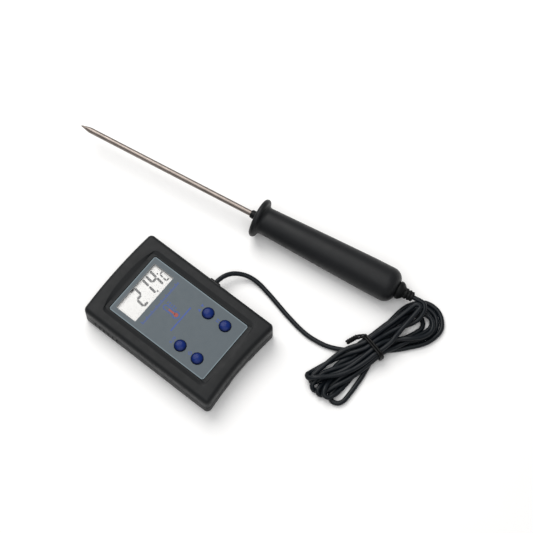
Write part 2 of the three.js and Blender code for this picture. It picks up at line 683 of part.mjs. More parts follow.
/** Wire wound twice round the waist strands, with both ends leaving together at one side. */
function twistTie() {
  const reach = CORD_RADIUS + TIE_RADIUS + 0.3;
  const halfWidth = 2 * STRAND_PITCH + reach;
  const top = WAIST_ROWS[2] + reach;
  const middle = (top + TIE_RADIUS) / 2;
  const halfHeight = middle - TIE_RADIUS;
  const tail = [[-12, 3.6, -0.6], [-8, 2.9, 0.4], [-4, 2, 0.8]];
  const points = tail.map(([u, v, z]) => hankPoint(u, halfWidth + v, middle + z));
  const squareness = 0.62; // below 1, the winding bulges out to the corners of the bundle
  for (let i = 0; i <= 32; i += 1) {
    const angle = (4 * Math.PI * i) / 32;
    const c = Math.cos(angle);
    const s = Math.sin(angle);
    const v = halfWidth * Math.sign(c) * Math.abs(c) ** squareness;
    const z = middle + halfHeight * Math.sign(s) * Math.abs(s) ** squareness;
    points.push(hankPoint(-1.9 + (3.2 * i) / 32, v, z));
  }
  return wire(smoothCurve(points), TIE_RADIUS, 48, 5);
}

// ---------------------------------------------------------------- probe
function probeDirection() {
  const flat = Math.cos(PROBE_TILT);
  return new THREE.Vector3(-Math.sin(PROBE_YAW) * flat, Math.cos(PROBE_YAW) * flat, Math.sin(PROBE_TILT));
}

/** Points of a quarter-like arc in a turned profile, from one angle to another, in degrees. */
function arcPoints(radius, y, arcRadius, from, to, steps) {
  return Array.from({ length: steps + 1 }, (_, i) => {
    const angle = THREE.MathUtils.degToRad(from + ((to - from) * i) / steps);
    return [radius + arcRadius * Math.cos(angle), y + arcRadius * Math.sin(angle)];
  });
}

function handle() {
  const rimRadius = 2;
  const shoulderY = HANDLE_REAR + HANDLE_SHOULDER;
  return turned([
    [5.05, HANDLE_REAR],
    ...arcPoints(HANDLE_REAR_RADIUS - HANDLE_SHOULDER, shoulderY, HANDLE_SHOULDER, -75, 0, 5),
    [HANDLE_REAR_RADIUS - 0.1, -84],
    [HANDLE_REAR_RADIUS - 0.9, -55],
    [HANDLE_FRONT_RADIUS, -6],
    [HANDLE_FRONT_RADIUS + 0.2, -4.2],
    [HANDLE_FRONT_RADIUS + 1.1, -2.6],
    ...arcPoints(GUARD_RADIUS - rimRadius, 0, rimRadius, -90, 80, 5),
    [7, 2.5],
    [2.25, 2.9],
    [2.25, -20],
    [7.4, -24],
    [7.4, -92],
    [5.05, -96],
    [5.05, HANDLE_REAR],
  ], 26);
}

function boot() {
  const rib = (y, radius, waist) => [[waist, y], [radius, y + 0.4], [radius, y + 1.3], [waist, y + 1.7]];
  return turned([
    [CORD_BORE + 0.35, BOOT_END], [2.7, BOOT_END + 0.1],
    ...rib(-117.6, 3.4, 2.7),
    ...rib(-115.5, 3.9, 2.9),
    ...rib(-113.4, BOOT_RADIUS, 3.2),
    [3.4, HANDLE_REAR - 4.8],
    [5.6, HANDLE_REAR - 4.6],
    [6.4, HANDLE_REAR - 3.4],
    [6.4, HANDLE_REAR - 0.9],
    [6.1, HANDLE_REAR - 0.3],
    [4.7, HANDLE_REAR - 0.3],
    [4.7, -97],
    [CORD_BORE, -97],
    [CORD_BORE, BOOT_END + 2],
    [CORD_BORE + 0.35, BOOT_END],
  ], 14);
}

function stem() {
  const bore = 1.45;
  return turned([
    [0, STEM_TIP - 6],
    [bore, STEM_TIP - 9],
    [bore, STEM_REAR],
    [STEM_RADIUS, STEM_REAR],
    [STEM_RADIUS, STEM_TIP - 7],
    [0.4, STEM_TIP - 0.3],
    [0, STEM_TIP],
  ], 14);
}

function sensorWire(side) {
  const line = [
    [0.7, STEM_TIP - 12], [0.7, 50], [0.7, -20], [0.7, STEM_REAR],
    [WIRE_SPREAD, -44], [WIRE_SPREAD, -50], [WIRE_SPREAD, -58], [WIRE_SPREAD, -62], [0.9, -67.6],
  ];
  return wire(smoothCurve(line.map(([x, y]) => new THREE.Vector3(side * x, y, 0))), 0.3, 26, 4);
}

function sensorBead() {
  const bead = turned([[0, -1.6], [0.8, -1.2], [1.1, 0], [0.8, 1.2], [0, 1.6]], 10);
  return bead.translate(0, STEM_TIP - 10, 0);
}

/** A plain ring along the probe's axis. */
function sleeve(bore, radius, [rear, front], sides = 14) {
  return turned([[bore, rear], [radius, rear], [radius, front], [bore, front], [bore, rear]], sides);
}

function straightCord([rear, front]) {
  return turned([[0, rear], [CORD_RADIUS, rear], [CORD_RADIUS, front], [0, front]], 10);
}

// ---------------------------------------------------------------- assembly
function caseAssembly() {
  const group = new THREE.Group();
  group.add(
    piece("rear_case", rearCase(), charcoal),
    piece("front_case", frontCase(), charcoal),
    piece("battery_cover", batteryCover(), charcoal),
    piece("face_label", faceLabel(), labelGrey),
    piece("display_window", displayBlock(PANE_LIP, [TOP_PLATE_Z - 0.15, TOP_PLATE_Z + 0.85]), clear),
    piece("lcd_glass", displayBlock(1.8, [BOARD_TOP_Z + 1.15, TOP_PLATE_Z - 0.25]), displayGrey),
    piece("lcd_frame", displayFrame(), switchBlack),
    piece("contact_strip_upper", contactStrip(1), handleBlack),
    piece("contact_strip_lower", contactStrip(-1), handleBlack),
    piece("circuit_board", circuitBoard(), boardGreen),
    piece("chip_cover", chipCover(), glossBlack),
    piece("cord_grommet", grommet(), handleBlack),
    piece("case_lead", caseLead(), cordVinyl),
    piece("cord_stop", cordStop(), brass),
  );
  ["unit", "range", "power", "hold"].forEach((name, i) => {
    const [bx, by] = buttonPlaces()[i];
    const plunger = rodGeometry(1.5, [BOARD_TOP_Z + 1, PLUNGER_TOP_Z], 0, 0, 12);
    const meshes = [
      piece(`button_${name}`, button(), buttonBlue),
      piece(`switch_plunger_${name}`, plunger, plungerWhite),
      piece(`switch_body_${name}`, switchBody(), switchBlack),
    ];
    meshes.forEach((mesh) => mesh.position.set(bx, by, 0));
    group.add(...meshes);
  });
  CASE_SCREWS.forEach(([sx, sy], i) => {
    const mesh = piece(`case_screw_${i + 1}`, screw(2.4, [1.6, 3.45], 1, 13.5), spring);
    mesh.position.set(sx, sy, 0);
    group.add(mesh);
  });
  BOARD_SCREWS.forEach(([sx, sy], i) => {
    const headZ = [BOARD_Z - 1.3, BOARD_Z - 0.05];
    const mesh = piece(`board_screw_${i + 1}`, screw(1.9, headZ, 0.85, 16.5), spring);
    mesh.position.set(sx, sy, 0);
    group.add(mesh);
  });
  return group;
}

function batteryBay() {
  const group = new THREE.Group();
  const plate = 0.4;
  const springLength = BAY_TOP_Y - BAY_END_Y - 2 * plate - BATTERY_BODY - BATTERY_NUB - 0.1;
  const first = piece("battery_1", battery(), batteryWrap);
  first.position.set(-BATTERY_X, BAY_TOP_Y - plate - 0.05, BATTERY_Z);
  const second = piece("battery_2", battery(), batteryWrap);
  second.rotation.z = Math.PI;
  second.position.set(BATTERY_X, BAY_END_Y + plate + 0.05, BATTERY_Z);
  const springA = piece("battery_spring_1", batterySpring(springLength), spring);
  springA.position.set(-BATTERY_X, BAY_END_Y + plate, BATTERY_Z);
  const springB = piece("battery_spring_2", batterySpring(springLength), spring);
  springB.rotation.z = Math.PI;
  springB.position.set(BATTERY_X, BAY_TOP_Y - plate, BATTERY_Z);
  group.add(
    first,
    second,
    springA,
    springB,
    piece("contact_bridge", contactPlate([-10, 10], [BAY_END_Y + 0.02, BAY_END_Y + plate]), spring),
    piece("contact_positive", contactPlate([-10, -1.2], [BAY_TOP_Y - plate, BAY_TOP_Y - 0.02]), spring),
    piece("contact_negative", contactPlate([1.2, 10], [BAY_TOP_Y - plate, BAY_TOP_Y - 0.02]), spring),
  );
  return group;
}

function probeAssembly() {
  const group = new THREE.Group();
  group.position.copy(PROBE_PLACE);
  group.rotation.set(PROBE_TILT, 0, PROBE_YAW, "ZXY");
  group.add(
    piece("probe_handle", handle(), handleBlack),
    piece("strain_relief_boot", boot(), glossBlack),
    piece("stem_collar", sleeve(STEM_RADIUS + 0.3, 2.9, [3.1, 7.1]), handleBlack),
    piece("probe_stem", stem(), steel),
    piece("stem_anchor", sleeve(STEM_RADIUS + 0.3, 4.2, [STEM_REAR, STEM_REAR + 9]), brass),
    piece("sensor_bead", sensorBead(), glossBlack),
    piece("sensor_wire_red", sensorWire(1), wireRed),
    piece("sensor_wire_black", sensorWire(-1), wireBlack),
    piece("splice_sleeve_red", sleeve(0.6, 1.1, [-58, -50], 10).translate(WIRE_SPREAD, 0, 0), glossBlack),
    piece("splice_sleeve_black", sleeve(0.6, 1.1, [-58, -50], 10).translate(-WIRE_SPREAD, 0, 0), glossBlack),
    piece("probe_lead", straightCord([BOOT_END + 0.6, -68]), cordVinyl),
    piece("lead_stop", sleeve(1.8, 3.4, [-95, -92]), brass),
    piece("cord_tail", straightCord([SWING_PIVOT + BEND_GAP, TAIL_START]), cordVinyl),
  );
  return group;
}

function cordAssembly() {
  const group = new THREE.Group();
  const bootPoint = PROBE_PLACE.clone().addScaledVector(probeDirection(), SWING_PIVOT);
  const line = cordCurve(bootPoint);
  group.add(
    piece("cord", wire(line, CORD_RADIUS, Math.round(line.getLength() / 3.9), 6), cordVinyl),
    piece("twist_tie", twistTie(), glossBlack),
  );
  return group;
}

const thermometer = new THREE.Group();
thermometer.add(caseAssembly(), batteryBay(), probeAssembly(), cordAssembly());

export default thermometer;
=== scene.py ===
import json
import math

import bmesh
import bpy
import numpy as np
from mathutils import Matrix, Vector
from mathutils.geometry import tessellate_polygon


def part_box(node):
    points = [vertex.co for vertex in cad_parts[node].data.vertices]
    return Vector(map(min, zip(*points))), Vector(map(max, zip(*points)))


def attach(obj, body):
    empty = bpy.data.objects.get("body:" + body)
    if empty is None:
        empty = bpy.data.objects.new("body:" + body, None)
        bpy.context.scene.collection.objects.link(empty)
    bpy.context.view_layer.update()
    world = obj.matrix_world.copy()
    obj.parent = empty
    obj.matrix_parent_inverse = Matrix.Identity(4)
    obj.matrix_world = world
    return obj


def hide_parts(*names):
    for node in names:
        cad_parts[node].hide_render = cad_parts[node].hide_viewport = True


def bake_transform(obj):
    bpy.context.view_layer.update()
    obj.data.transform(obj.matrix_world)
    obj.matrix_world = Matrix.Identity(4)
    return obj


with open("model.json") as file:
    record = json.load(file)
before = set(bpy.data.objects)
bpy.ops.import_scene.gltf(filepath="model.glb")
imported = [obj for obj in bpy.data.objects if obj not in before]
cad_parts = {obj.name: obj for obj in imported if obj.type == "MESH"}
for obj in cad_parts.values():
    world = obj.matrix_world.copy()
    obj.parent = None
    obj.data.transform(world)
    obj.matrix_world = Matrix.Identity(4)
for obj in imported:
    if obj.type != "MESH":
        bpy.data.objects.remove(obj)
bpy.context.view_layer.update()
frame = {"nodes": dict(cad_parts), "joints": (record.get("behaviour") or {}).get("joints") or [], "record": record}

NODES = frame["nodes"]
JOINTS = {joint["name"]: joint for joint in frame["joints"]}
SLOT_OF = {row["node"]: row["material_slot"] for row in frame["record"]["subparts"]}
MM = 0.001


# ---------------------------------------------------------------- sizes read from the frame
def span(node):
    """Lowest and highest corner of a CAD node, in millimetres."""
    low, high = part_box(node)
    return np.array(low) / MM, np.array(high) / MM


def points_of(node):
    """The distinct corners of a CAD node in millimetres, and each mesh vertex's place among them."""
    co = np.array([v.co for v in NODES[node].data.vertices]) / MM
    return np.unique(np.round(co, 3), axis=0, return_inverse=True)


FRONT_LOW, FRONT_HIGH = span("front_case")
CASE_HALF_X = FRONT_HIGH[0]
CASE_HALF_Y = -FRONT_LOW[1]
END_BULGE = FRONT_HIGH[1] - CASE_HALF_Y
END_HOLLOW = 1.7
CASE_TOP = FRONT_HIGH[2]
SPLIT_Z = FRONT_LOW[2]
CASE_CORNER = 3.4
CASE_WALL = 2.2
TOP_ROUND = (3.0, 3.5)  # how far the top edge's rounding reaches in and down
FOOT_ROUND = (2.4, 2.4)
LINE_DEPTH = 0.3  # of the groove that runs round the walls below the top edge
PARTING_DEPTH = 0.25  # of the bevels where the two shells meet
PARTING_GAP = 0.08  # each shell stops this far short of the plane between them
PLATE_LOW = 17.2  # underside of the plate that carries the label
BED_Z = 18.8  # the sunk face on which the label lies
FLOOR_Z = 2.4

LABEL_HALF_X, LABEL_HALF_Y, LABEL_TOP = span("face_label")[1]
LABEL_CORNER = 1.6
PANE_LOW, PANE_HIGH = span("display_window")
PANE_LIP = 1.6  # the pane reaches past its opening by this much
WINDOW_MIDDLE = (PANE_LOW + PANE_HIGH) / 2
WINDOW_HALF = (PANE_HIGH - PANE_LOW) / 2 - PANE_LIP
LCD_TOP = span("lcd_glass")[1][2]

BUTTON_RADIUS = 4.2
BUTTON_GAP = 0.25
BUTTON_DOME = 1.5
BUTTONS = [name for name in NODES if name.startswith("button_")]
BUTTON_TOP = span(BUTTONS[0])[1][2]
SCREWS = [name for name in NODES if name.startswith("case_screw_")]

CORD_RADIUS = 1.65
CORD_BEND = np.array(JOINTS["cord_bend"]["pos_m"]) / MM


def centre_of(node):
    low, high = span(node)
    return (low + high) / 2


# ---------------------------------------------------------------- mesh helpers
def link(name, mesh):
    piece = bpy.data.objects.new(name, mesh)
    bpy.context.scene.collection.objects.link(piece)
    return piece


def clean(mesh, smooth_below=35):
    """Merges doubled corners, turns the faces outwards and shades gentle edges smooth."""
    work = bmesh.new()
    work.from_mesh(mesh)
    bmesh.ops.remove_doubles(work, verts=work.verts, dist=1e-6)
    bmesh.ops.dissolve_degenerate(work, edges=work.edges, dist=1e-7)
    bmesh.ops.recalc_face_normals(work, faces=work.faces)
    work.to_mesh(mesh)
    work.free()
    mesh.shade_smooth()
    mesh.set_sharp_from_angle(angle=math.radians(smooth_below))


def solid(name, vertices, faces, smooth_below=35):
    """A mesh object from millimetre points."""
    mesh = bpy.data.meshes.new(name)
    mesh.from_pydata([tuple(v) for v in np.asarray(vertices, float) * MM], [], faces)
    clean(mesh, smooth_below)
    return link(name, mesh)


def band_faces(ring_count, size, wrap=False):
    """The four-sided faces between neighbouring rings of size points each."""
    faces = []
    for k in range(ring_count if wrap else ring_count - 1):
        here = k * size
        there = ((k + 1) % ring_count) * size
        for i in range(size):
            j = (i + 1) % size
            faces.append((here + i, here + j, there + j, there + i))
    return faces


def loft(name, rings, caps=True, wrap=False, smooth_below=35):
    """A skin over rings of points, closed by flat caps or by wrapping round to the first ring."""
    size = len(rings[0])
    faces = band_faces(len(rings), size, wrap)
    if caps and not wrap:
        last = (len(rings) - 1) * size
        faces += [tuple(range(size)), tuple(range(last, last + size))]
    return solid(name, np.concatenate(rings), faces, smooth_below)


def soften(corners, steps=5):
    """A profile with rounded corners; a corner is (a, b, cut), the round starting cut before it."""
    points = []
    for i, (a, b, cut) in enumerate(corners):
        here = np.array((a, b), float)
        if cut == 0:
            points.append(here)
            continue
        towards = [np.array(corners[k][:2], float) - here for k in (i - 1, (i + 1) % len(corners))]
        start, end = [here + way * cut / np.linalg.norm(way) for way in towards]
        for t in np.linspace(0, 1, steps + 1):
            points.append((1 - t) ** 2 * start + 2 * t * (1 - t) * here + t * t * end)
    return points


def turns(start, end, steps):
    """Equally spaced angles between two angles in degrees, both included."""
    return np.radians(np.linspace(start, end, steps))


def lathe(name, profile, origin, axis, sides=64, wrap=True):
    """A turned solid: profile points are (radius, distance along the axis)."""
    axis = np.array(axis, float) / np.linalg.norm(axis)
    side = np.cross(axis, (0, 0, 1) if abs(axis[2]) < 0.9 else (1, 0, 0))
    side /= np.linalg.norm(side)
    other = np.cross(axis, side)
    turn = np.linspace(0, 2 * math.pi, sides, endpoint=False)[:, None]
    circle = np.cos(turn) * side + np.sin(turn) * other
    rings = [np.array(origin) + radius * circle + along * axis for radius, along in profile]
    return loft(name, rings, caps=False, wrap=wrap)


def tube_rings(path, radius, sides):
    """Rings round a path, turning as little as possible from one to the next."""
    path = np.asarray(path, float)
    ways = np.gradient(path, axis=0)
    ways /= np.linalg.norm(ways, axis=1)[:, None]
    side = np.cross(ways[0], (0, 0, 1) if abs(ways[0][2]) < 0.9 else (1, 0, 0))
    turn = np.linspace(0, 2 * math.pi, sides, endpoint=False)[:, None]
    rings = []
    for point, way in zip(path, ways):
        side = side - way * side.dot(way)
        side /= np.linalg.norm(side)
        rings.append(point + radius * (np.cos(turn) * side + np.sin(turn) * np.cross(way, side)))
    return rings


def smooth_path(points, step):
    """A centripetal Catmull-Rom curve through points, sampled at about equal steps."""
    points = np.asarray(points, float)
    points = np.vstack([2 * points[0] - points[1], points, 2 * points[-1] - points[-2]])
    knots = np.concatenate([[0], np.cumsum(np.sqrt(np.linalg.norm(np.diff(points, axis=0), axis=1)))])
    curve = []
    for k in range(1, len(points) - 2):
        t0, t1, t2, t3 = knots[k - 1:k + 3]
        t = np.linspace(t1, t2, 12, endpoint=False)[:, None]
        p0, p1, p2, p3 = points[k - 1:k + 3]
        a1 = ((t1 - t) * p0 + (t - t0) * p1) / (t1 - t0)
        a2 = ((t2 - t) * p1 + (t - t1) * p2) / (t2 - t1)
        a3 = ((t3 - t) * p2 + (t - t2) * p3) / (t3 - t2)
        b1 = ((t2 - t) * a1 + (t - t0) * a2) / (t2 - t0)
        b2 = ((t3 - t) * a2 + (t - t1) * a3) / (t3 - t1)
        curve.append(((t2 - t) * b1 + (t - t1) * b2) / (t2 - t1))
    curve = np.vstack(curve + [points[-2:-1]])
    length = np.concatenate([[0], np.cumsum(np.linalg.norm(np.diff(curve, axis=0), axis=1))])
    places = np.linspace(0, length[-1], max(2, round(length[-1] / step)) + 1)
    return np.stack([np.interp(places, length, curve[:, k]) for k in range(3)], axis=1)


def ring_centres(node, start, sides):
    """The centre line of a swept CAD node, walked ring by ring from the end nearest to start."""
    corners, place = points_of(node)
    neighbours = [set() for _ in corners]
    for polygon in NODES[node].data.polygons:
        around = [place[i] for i in polygon.vertices]
        for a, b in zip(around, around[1:] + around[:1]):
            neighbours[a].add(b)
            neighbours[b].add(a)
    current = set(np.argsort(np.linalg.norm(corners - start, axis=1))[:sides])
    seen = set(current)
    centres = []
    while current:
        centres.append(corners[sorted(current)].mean(axis=0))
        current = {far for near in current for far in neighbours[near]} - seen
        seen |= current
    return np.array(centres)


def box_solid(name, x, y, z):
    """A plain block, used only to cut with or as part of a larger piece."""
    corners = [(a, b, c) for a in x for b in y for c in z]
    faces = [(0, 1, 3, 2), (4, 6, 7, 5), (0, 4, 5, 1), (2, 3, 7, 6), (0, 2, 6, 4), (1, 5, 7, 3)]
    return solid(name, corners, faces)


def rod_solid(name, radius, x, y, z, sides=32):
    """An upright cylinder between two heights."""
    return lathe(name, [(0, z[0]), (radius, z[0]), (radius, z[1]), (0, z[1])], (x, y, 0), (0, 0, 1), sides)


def combine(piece, tools, operation):
    """Cuts or joins helper solids with a piece and removes them."""
    for tool in tools:
        modifier = piece.modifiers.new(operation, "BOOLEAN")
        modifier.operation = operation
        modifier.solver = "EXACT"
        modifier.object = tool
    bake(piece)
    for tool in tools:
        bpy.data.objects.remove(tool)
    return piece


def bake(piece, smooth_below=35):
    """Makes a piece's modifiers part of its mesh."""
    graph = bpy.context.evaluated_depsgraph_get()
    mesh = bpy.data.meshes.new_from_object(piece.evaluated_get(graph))
    piece.modifiers.clear()
    piece.data = mesh
    mesh.name = piece.name
    clean(mesh, smooth_below)


def merge(name, pieces):
    """One piece from several separate solids."""
    vertices, faces = [], []
    for piece in pieces:
        first = len(vertices)
        vertices += [np.array(v.co) / MM for v in piece.data.vertices]
        faces += [tuple(first + i for i in polygon.vertices) for polygon in piece.data.polygons]
        bpy.data.objects.remove(piece)
    return solid(name, vertices, faces)


# ---------------------------------------------------------------- material helpers
COLOR_A, COLOR_B, COLOR_RESULT = 6, 7, 2  # places of the colour sockets in a Mix node


class Shader:
    """A procedural material under construction, in millimetres of object space."""

    def __init__(self, name):
        self.material = bpy.data.materials.new(name)
        self.material.use_nodes = True
        self.tree = self.material.node_tree
        self.surface = self.tree.nodes["Principled BSDF"]
        scaled = self.node("ShaderNodeVectorMath", operation="SCALE")
        scaled.inputs["Scale"].default_value = 1 / MM
        self.join(self.node("ShaderNodeTexCoord").outputs["Object"], scaled.inputs[0])
        self.place = scaled.outputs[0]

    def node(self, kind, **settings):
        made = self.tree.nodes.new(kind)
        for key, value in settings.items():
            setattr(made, key, value)
        return made

    def join(self, source, target):
        self.tree.links.new(source, target)

    def feed(self, target, value):
        """Sets an input to a number or colour, or links it to another node's output."""
        if isinstance(value, bpy.types.NodeSocket):
            self.join(value, target)
        elif isinstance(value, tuple) and len(value) == 3 and target.type == "RGBA":
            target.default_value = (*value, 1)
        else:
            target.default_value = value

    def set(self, **inputs):
        for key, value in inputs.items():
            self.feed(self.surface.inputs[key.replace("_", " ")], value)
        return self

    def math(self, operation, a, b=0.0):
        made = self.node("ShaderNodeMath", operation=operation)
        self.feed(made.inputs[0], a)
        self.feed(made.inputs[1], b)
        return made.outputs[0]

    def axes(self):
        split = self.node("ShaderNodeSeparateXYZ")
        self.join(self.place, split.inputs[0])
        return split.outputs

    def stretched(self, direction, stretch):
        """Coordinates drawn out along a horizontal direction, for marks that run along it."""
        mapping = self.node("ShaderNodeMapping", vector_type="TEXTURE")
        mapping.inputs["Rotation"].default_value = (0, 0, math.atan2(direction[1], direction[0]))
        mapping.inputs["Scale"].default_value = (stretch, 1, 1)
        self.join(self.place, mapping.inputs[0])
        return mapping.outputs[0]

    def noise(self, size, detail=3.0, place=None):
        """Soft noise with features of about size millimetres."""
        made = self.node("ShaderNodeTexNoise")
        made.inputs["Scale"].default_value = 1 / size
        made.inputs["Detail"].default_value = detail
        self.join(place or self.place, made.inputs["Vector"])
        return made.outputs["Fac"]

    def cells(self, size):
        """Rounded pits like those of spark-eroded moulds."""
        made = self.node("ShaderNodeTexVoronoi", feature="SMOOTH_F1")
        made.inputs["Scale"].default_value = 1 / size
        self.join(self.place, made.inputs["Vector"])
        return made.outputs["Distance"]

    def remap(self, value, low, high, new_low, new_high):
        made = self.node("ShaderNodeMapRange")
        for key, number in zip(("From Min", "From Max", "To Min", "To Max"), (low, high, new_low, new_high)):
            made.inputs[key].default_value = number
        self.join(value, made.inputs["Value"])
        return made.outputs["Result"]

    def blend(self, share, first, second):
        made = self.node("ShaderNodeMix", data_type="RGBA")
        self.feed(made.inputs["Factor"], share)
        self.feed(made.inputs[COLOR_A], first)
        self.feed(made.inputs[COLOR_B], second)
        return made.outputs[COLOR_RESULT]

    def edges(self):
        """Near 1 on convex edges, 0 elsewhere."""
        return self.remap(self.node("ShaderNodeNewGeometry").outputs["Pointiness"], 0.52, 0.62, 0, 1)

    def bump(self, height, depth):
        """Raises the surface by depth millimetres times height."""
        made = self.node("ShaderNodeBump")
        made.inputs["Distance"].default_value = depth * MM
        self.join(height, made.inputs["Height"])
        self.feed(self.surface.inputs["Normal"], made.outputs["Normal"])
        return self


def tint(color, factor):
    return tuple(min(1.0, channel * factor) for channel in color)


def moulded(name, color, roughness, grain=0.35, depth=0.02, mottle=0.12, specular=0.3, wear_and_highlight=0.25):
    """Moulded plastic or rubber: fine pitted skin, faint mottling, and convex edges painted paler in patches, part
    rubbed wear and part painted highlight.
    """
    shader = Shader(name)
    cloudy = shader.blend(shader.noise(9), tint(color, 1 - mottle), tint(color, 1 + mottle))
    # painted highlight and wear: convex edges lightened in patches, standing partly for rubbing and partly for
    # light caught on the edges
    wear_and_edge_highlight = shader.math("MULTIPLY", shader.edges(), shader.remap(shader.noise(3), 0.4, 0.7, 0, wear_and_highlight))
    skin = shader.math("ADD", shader.cells(grain), shader.noise(grain * 0.5))
    shader.set(Base_Color=shader.blend(wear_and_edge_highlight, cloudy, tint(color, 2.2)))
    shader.set(Roughness=shader.remap(shader.noise(5), 0.3, 0.7, roughness - 0.05, roughness + 0.05))
    shader.set(Specular_IOR_Level=specular)
    return shader.bump(skin, depth).material


def metal(name, color, roughness, direction=(1, 0), stretch=1.0, line=0.12):
    """Drawn or plated metal; a stretch above 1 draws its texture out into lines along direction."""
    shader = Shader(name)
    lines = shader.noise(line, 2.0, shader.stretched(direction, stretch))
    stain = shader.noise(6)
    shader.set(Base_Color=shader.blend(shader.remap(stain, 0.35, 0.7, 0, 1), color, tint(color, 0.78)))
    shader.set(Metallic=1.0, Roughness=shader.remap(lines, 0.3, 0.7, roughness - 0.07, roughness + 0.09))
    return shader.bump(lines, 0.004).material


def button_blue():
    """Dark blue caps, with painted shade making them nearly black at the rim and down the side."""
    shader = Shader("button_blue")
    _, _, z = shader.axes()
    # painted shade: the cap darkens towards its rim and down its side, where the dome turns away from the light
    rim = shader.remap(z, BUTTON_TOP - 1.25, BUTTON_TOP - 0.2, 1, 0)
    body = shader.blend(shader.noise(2.5), (0.004, 0.016, 0.11), (0.005, 0.020, 0.135))
    shader.set(Base_Color=shader.blend(rim, body, (0.001, 0.003, 0.018)))
    shader.set(Roughness=shader.remap(shader.noise(1.5), 0.3, 0.7, 0.22, 0.28), Specular_IOR_Level=0.12)
    return shader.bump(shader.noise(0.4), 0.004).material


def label_print():
    """Grey-blue printed sheet with a paler line round its edge."""
    shader = Shader("label_print")
    x, y, _ = shader.axes()
    from_side = shader.math("SUBTRACT", LABEL_HALF_X, shader.math("ABSOLUTE", x))
    from_end = shader.math("SUBTRACT", LABEL_HALF_Y, shader.math("ABSOLUTE", y))
    rim = shader.remap(shader.math("MINIMUM", from_side, from_end), 0.45, 0.75, 1, 0)
    field = shader.blend(shader.noise(14), (0.086, 0.105, 0.119), (0.091, 0.111, 0.125))
    speckled = shader.blend(shader.remap(shader.noise(0.2), 0.45, 0.8, 0, 0.2), field, (0.16, 0.19, 0.21))
    shader.set(Base_Color=shader.blend(rim, speckled, (0.17, 0.215, 0.24)), Specular_IOR_Level=0.16)
    shader.set(Roughness=shader.remap(shader.noise(4), 0.3, 0.7, 0.42, 0.52))
    return shader.bump(shader.noise(0.25), 0.006).material


def display_cell():
    """Pale reflective display, faintly mottled and slightly darker towards its lower edge."""
    shader = Shader("display_cell")
    _, y, _ = shader.axes()
    half = 9
    shade = shader.remap(y, WINDOW_MIDDLE[1] - half, WINDOW_MIDDLE[1] + half, 0, 1)
    base = shader.blend(shade, (0.64, 0.64, 0.63), (0.67, 0.67, 0.66))
    mottled = shader.blend(shader.remap(shader.noise(0.3), 0.4, 0.7, 0, 0.1), base, (0.59, 0.59, 0.58))
    shader.set(Base_Color=mottled, Roughness=0.5)
    return shader.bump(shader.noise(0.2), 0.002).material


def clear_pane():
    """Clear window: see-through, with a faint and slightly uneven reflection on its outside."""
    shader = Shader("clear_pane")
    gloss = shader.node("ShaderNodeBsdfGlossy")
    shader.feed(gloss.inputs["Roughness"], shader.remap(shader.noise(0.5), 0.4, 0.7, 0.02, 0.12))
    through = shader.node("ShaderNodeBsdfTransparent")
    facing = shader.node("ShaderNodeFresnel")
    facing.inputs["IOR"].default_value = 1.3
    outside = shader.math("SUBTRACT", 1.0, shader.node("ShaderNodeNewGeometry").outputs["Backfacing"])
    both = shader.node("ShaderNodeMixShader")
    shader.join(shader.math("MULTIPLY", facing.outputs[0], outside), both.inputs[0])
    shader.join(through.outputs[0], both.inputs[1])
    shader.join(gloss.outputs[0], both.inputs[2])
    shader.join(both.outputs[0], shader.tree.nodes["Material Output"].inputs["Surface"])
    return shader.material


def board_laminate():
    """Green solder mask over faint copper runs."""
    shader = Shader("board_laminate")
    runs = shader.node("ShaderNodeTexBrick")
    runs.inputs["Scale"].default_value = 0.25
    runs.inputs["Mortar Size"].default_value = 0.06
    shader.join(shader.place, runs.inputs["Vector"])
    copper = shader.remap(runs.outputs["Fac"], 0, 1, 0, 0.7)
    shader.set(Base_Color=shader.blend(copper, (0.02, 0.13, 0.06), (0.06, 0.24, 0.10)), Roughness=0.35)
    return shader.bump(runs.outputs["Fac"], 0.03).material


def battery_sleeve():
    """Shrink sleeve, pale in the middle and dark beyond it, with bare steel at both ends."""
    shader = Shader("battery_sleeve")
    _, y, _ = shader.axes()
    middle = centre_of("battery_1")[1]
    off_middle = shader.math("ABSOLUTE", shader.math("SUBTRACT", y, middle))
    pale_half, sleeve_half = 10.0, 21.65
    band = shader.remap(off_middle, pale_half - 0.1, pale_half + 0.1, 0, 1)
    bare = shader.remap(off_middle, sleeve_half - 0.05, sleeve_half + 0.05, 0, 1)
    sleeve = shader.blend(band, (0.26, 0.28, 0.30), (0.03, 0.03, 0.035))
    shader.set(Base_Color=shader.blend(bare, sleeve, (0.6, 0.6, 0.58)), Metallic=bare, Roughness=0.3)
    return shader.bump(shader.noise(1.5), 0.01).material


def printed(name, color):
    """Thin ink, a little uneven in strength."""
    shader = Shader(name)
    shader.set(Base_Color=shader.blend(shader.noise(0.6), tint(color, 0.8), tint(color, 1.2)), Roughness=0.5)
    return shader.bump(shader.noise(0.15), 0.003).material


def probe_axis():
    """A point on the probe's axis level with the finger guard, and the axis's direction to the tip."""
    corners, _ = points_of("probe_handle")
    middle = corners.mean(axis=0)
    direction = np.linalg.svd(corners - middle)[2][0]
    direction *= math.copysign(1, direction[1])
    front = span_along("probe_stem", middle, direction)[1]
    return middle + (front - STEM_TIP) * direction, direction


def span_along(node, origin, direction):
    """How far a CAD node reaches backwards and forwards along a line through origin."""
    along = (points_of(node)[0] - origin) @ direction
    return along.min(), along.max()


# Places along the probe's axis, measured from the finger guard's middle towards the tip
STEM_TIP = 142.8
STEM_REAR = -34
HANDLE_REAR = -106.3
NECK_START = -126  # the cord's short bending length starts here
ROOT_START = -120.4  # and the end that the boot holds starts here
BOOT_END = -118.2
GUARD, TO_TIP = probe_axis()

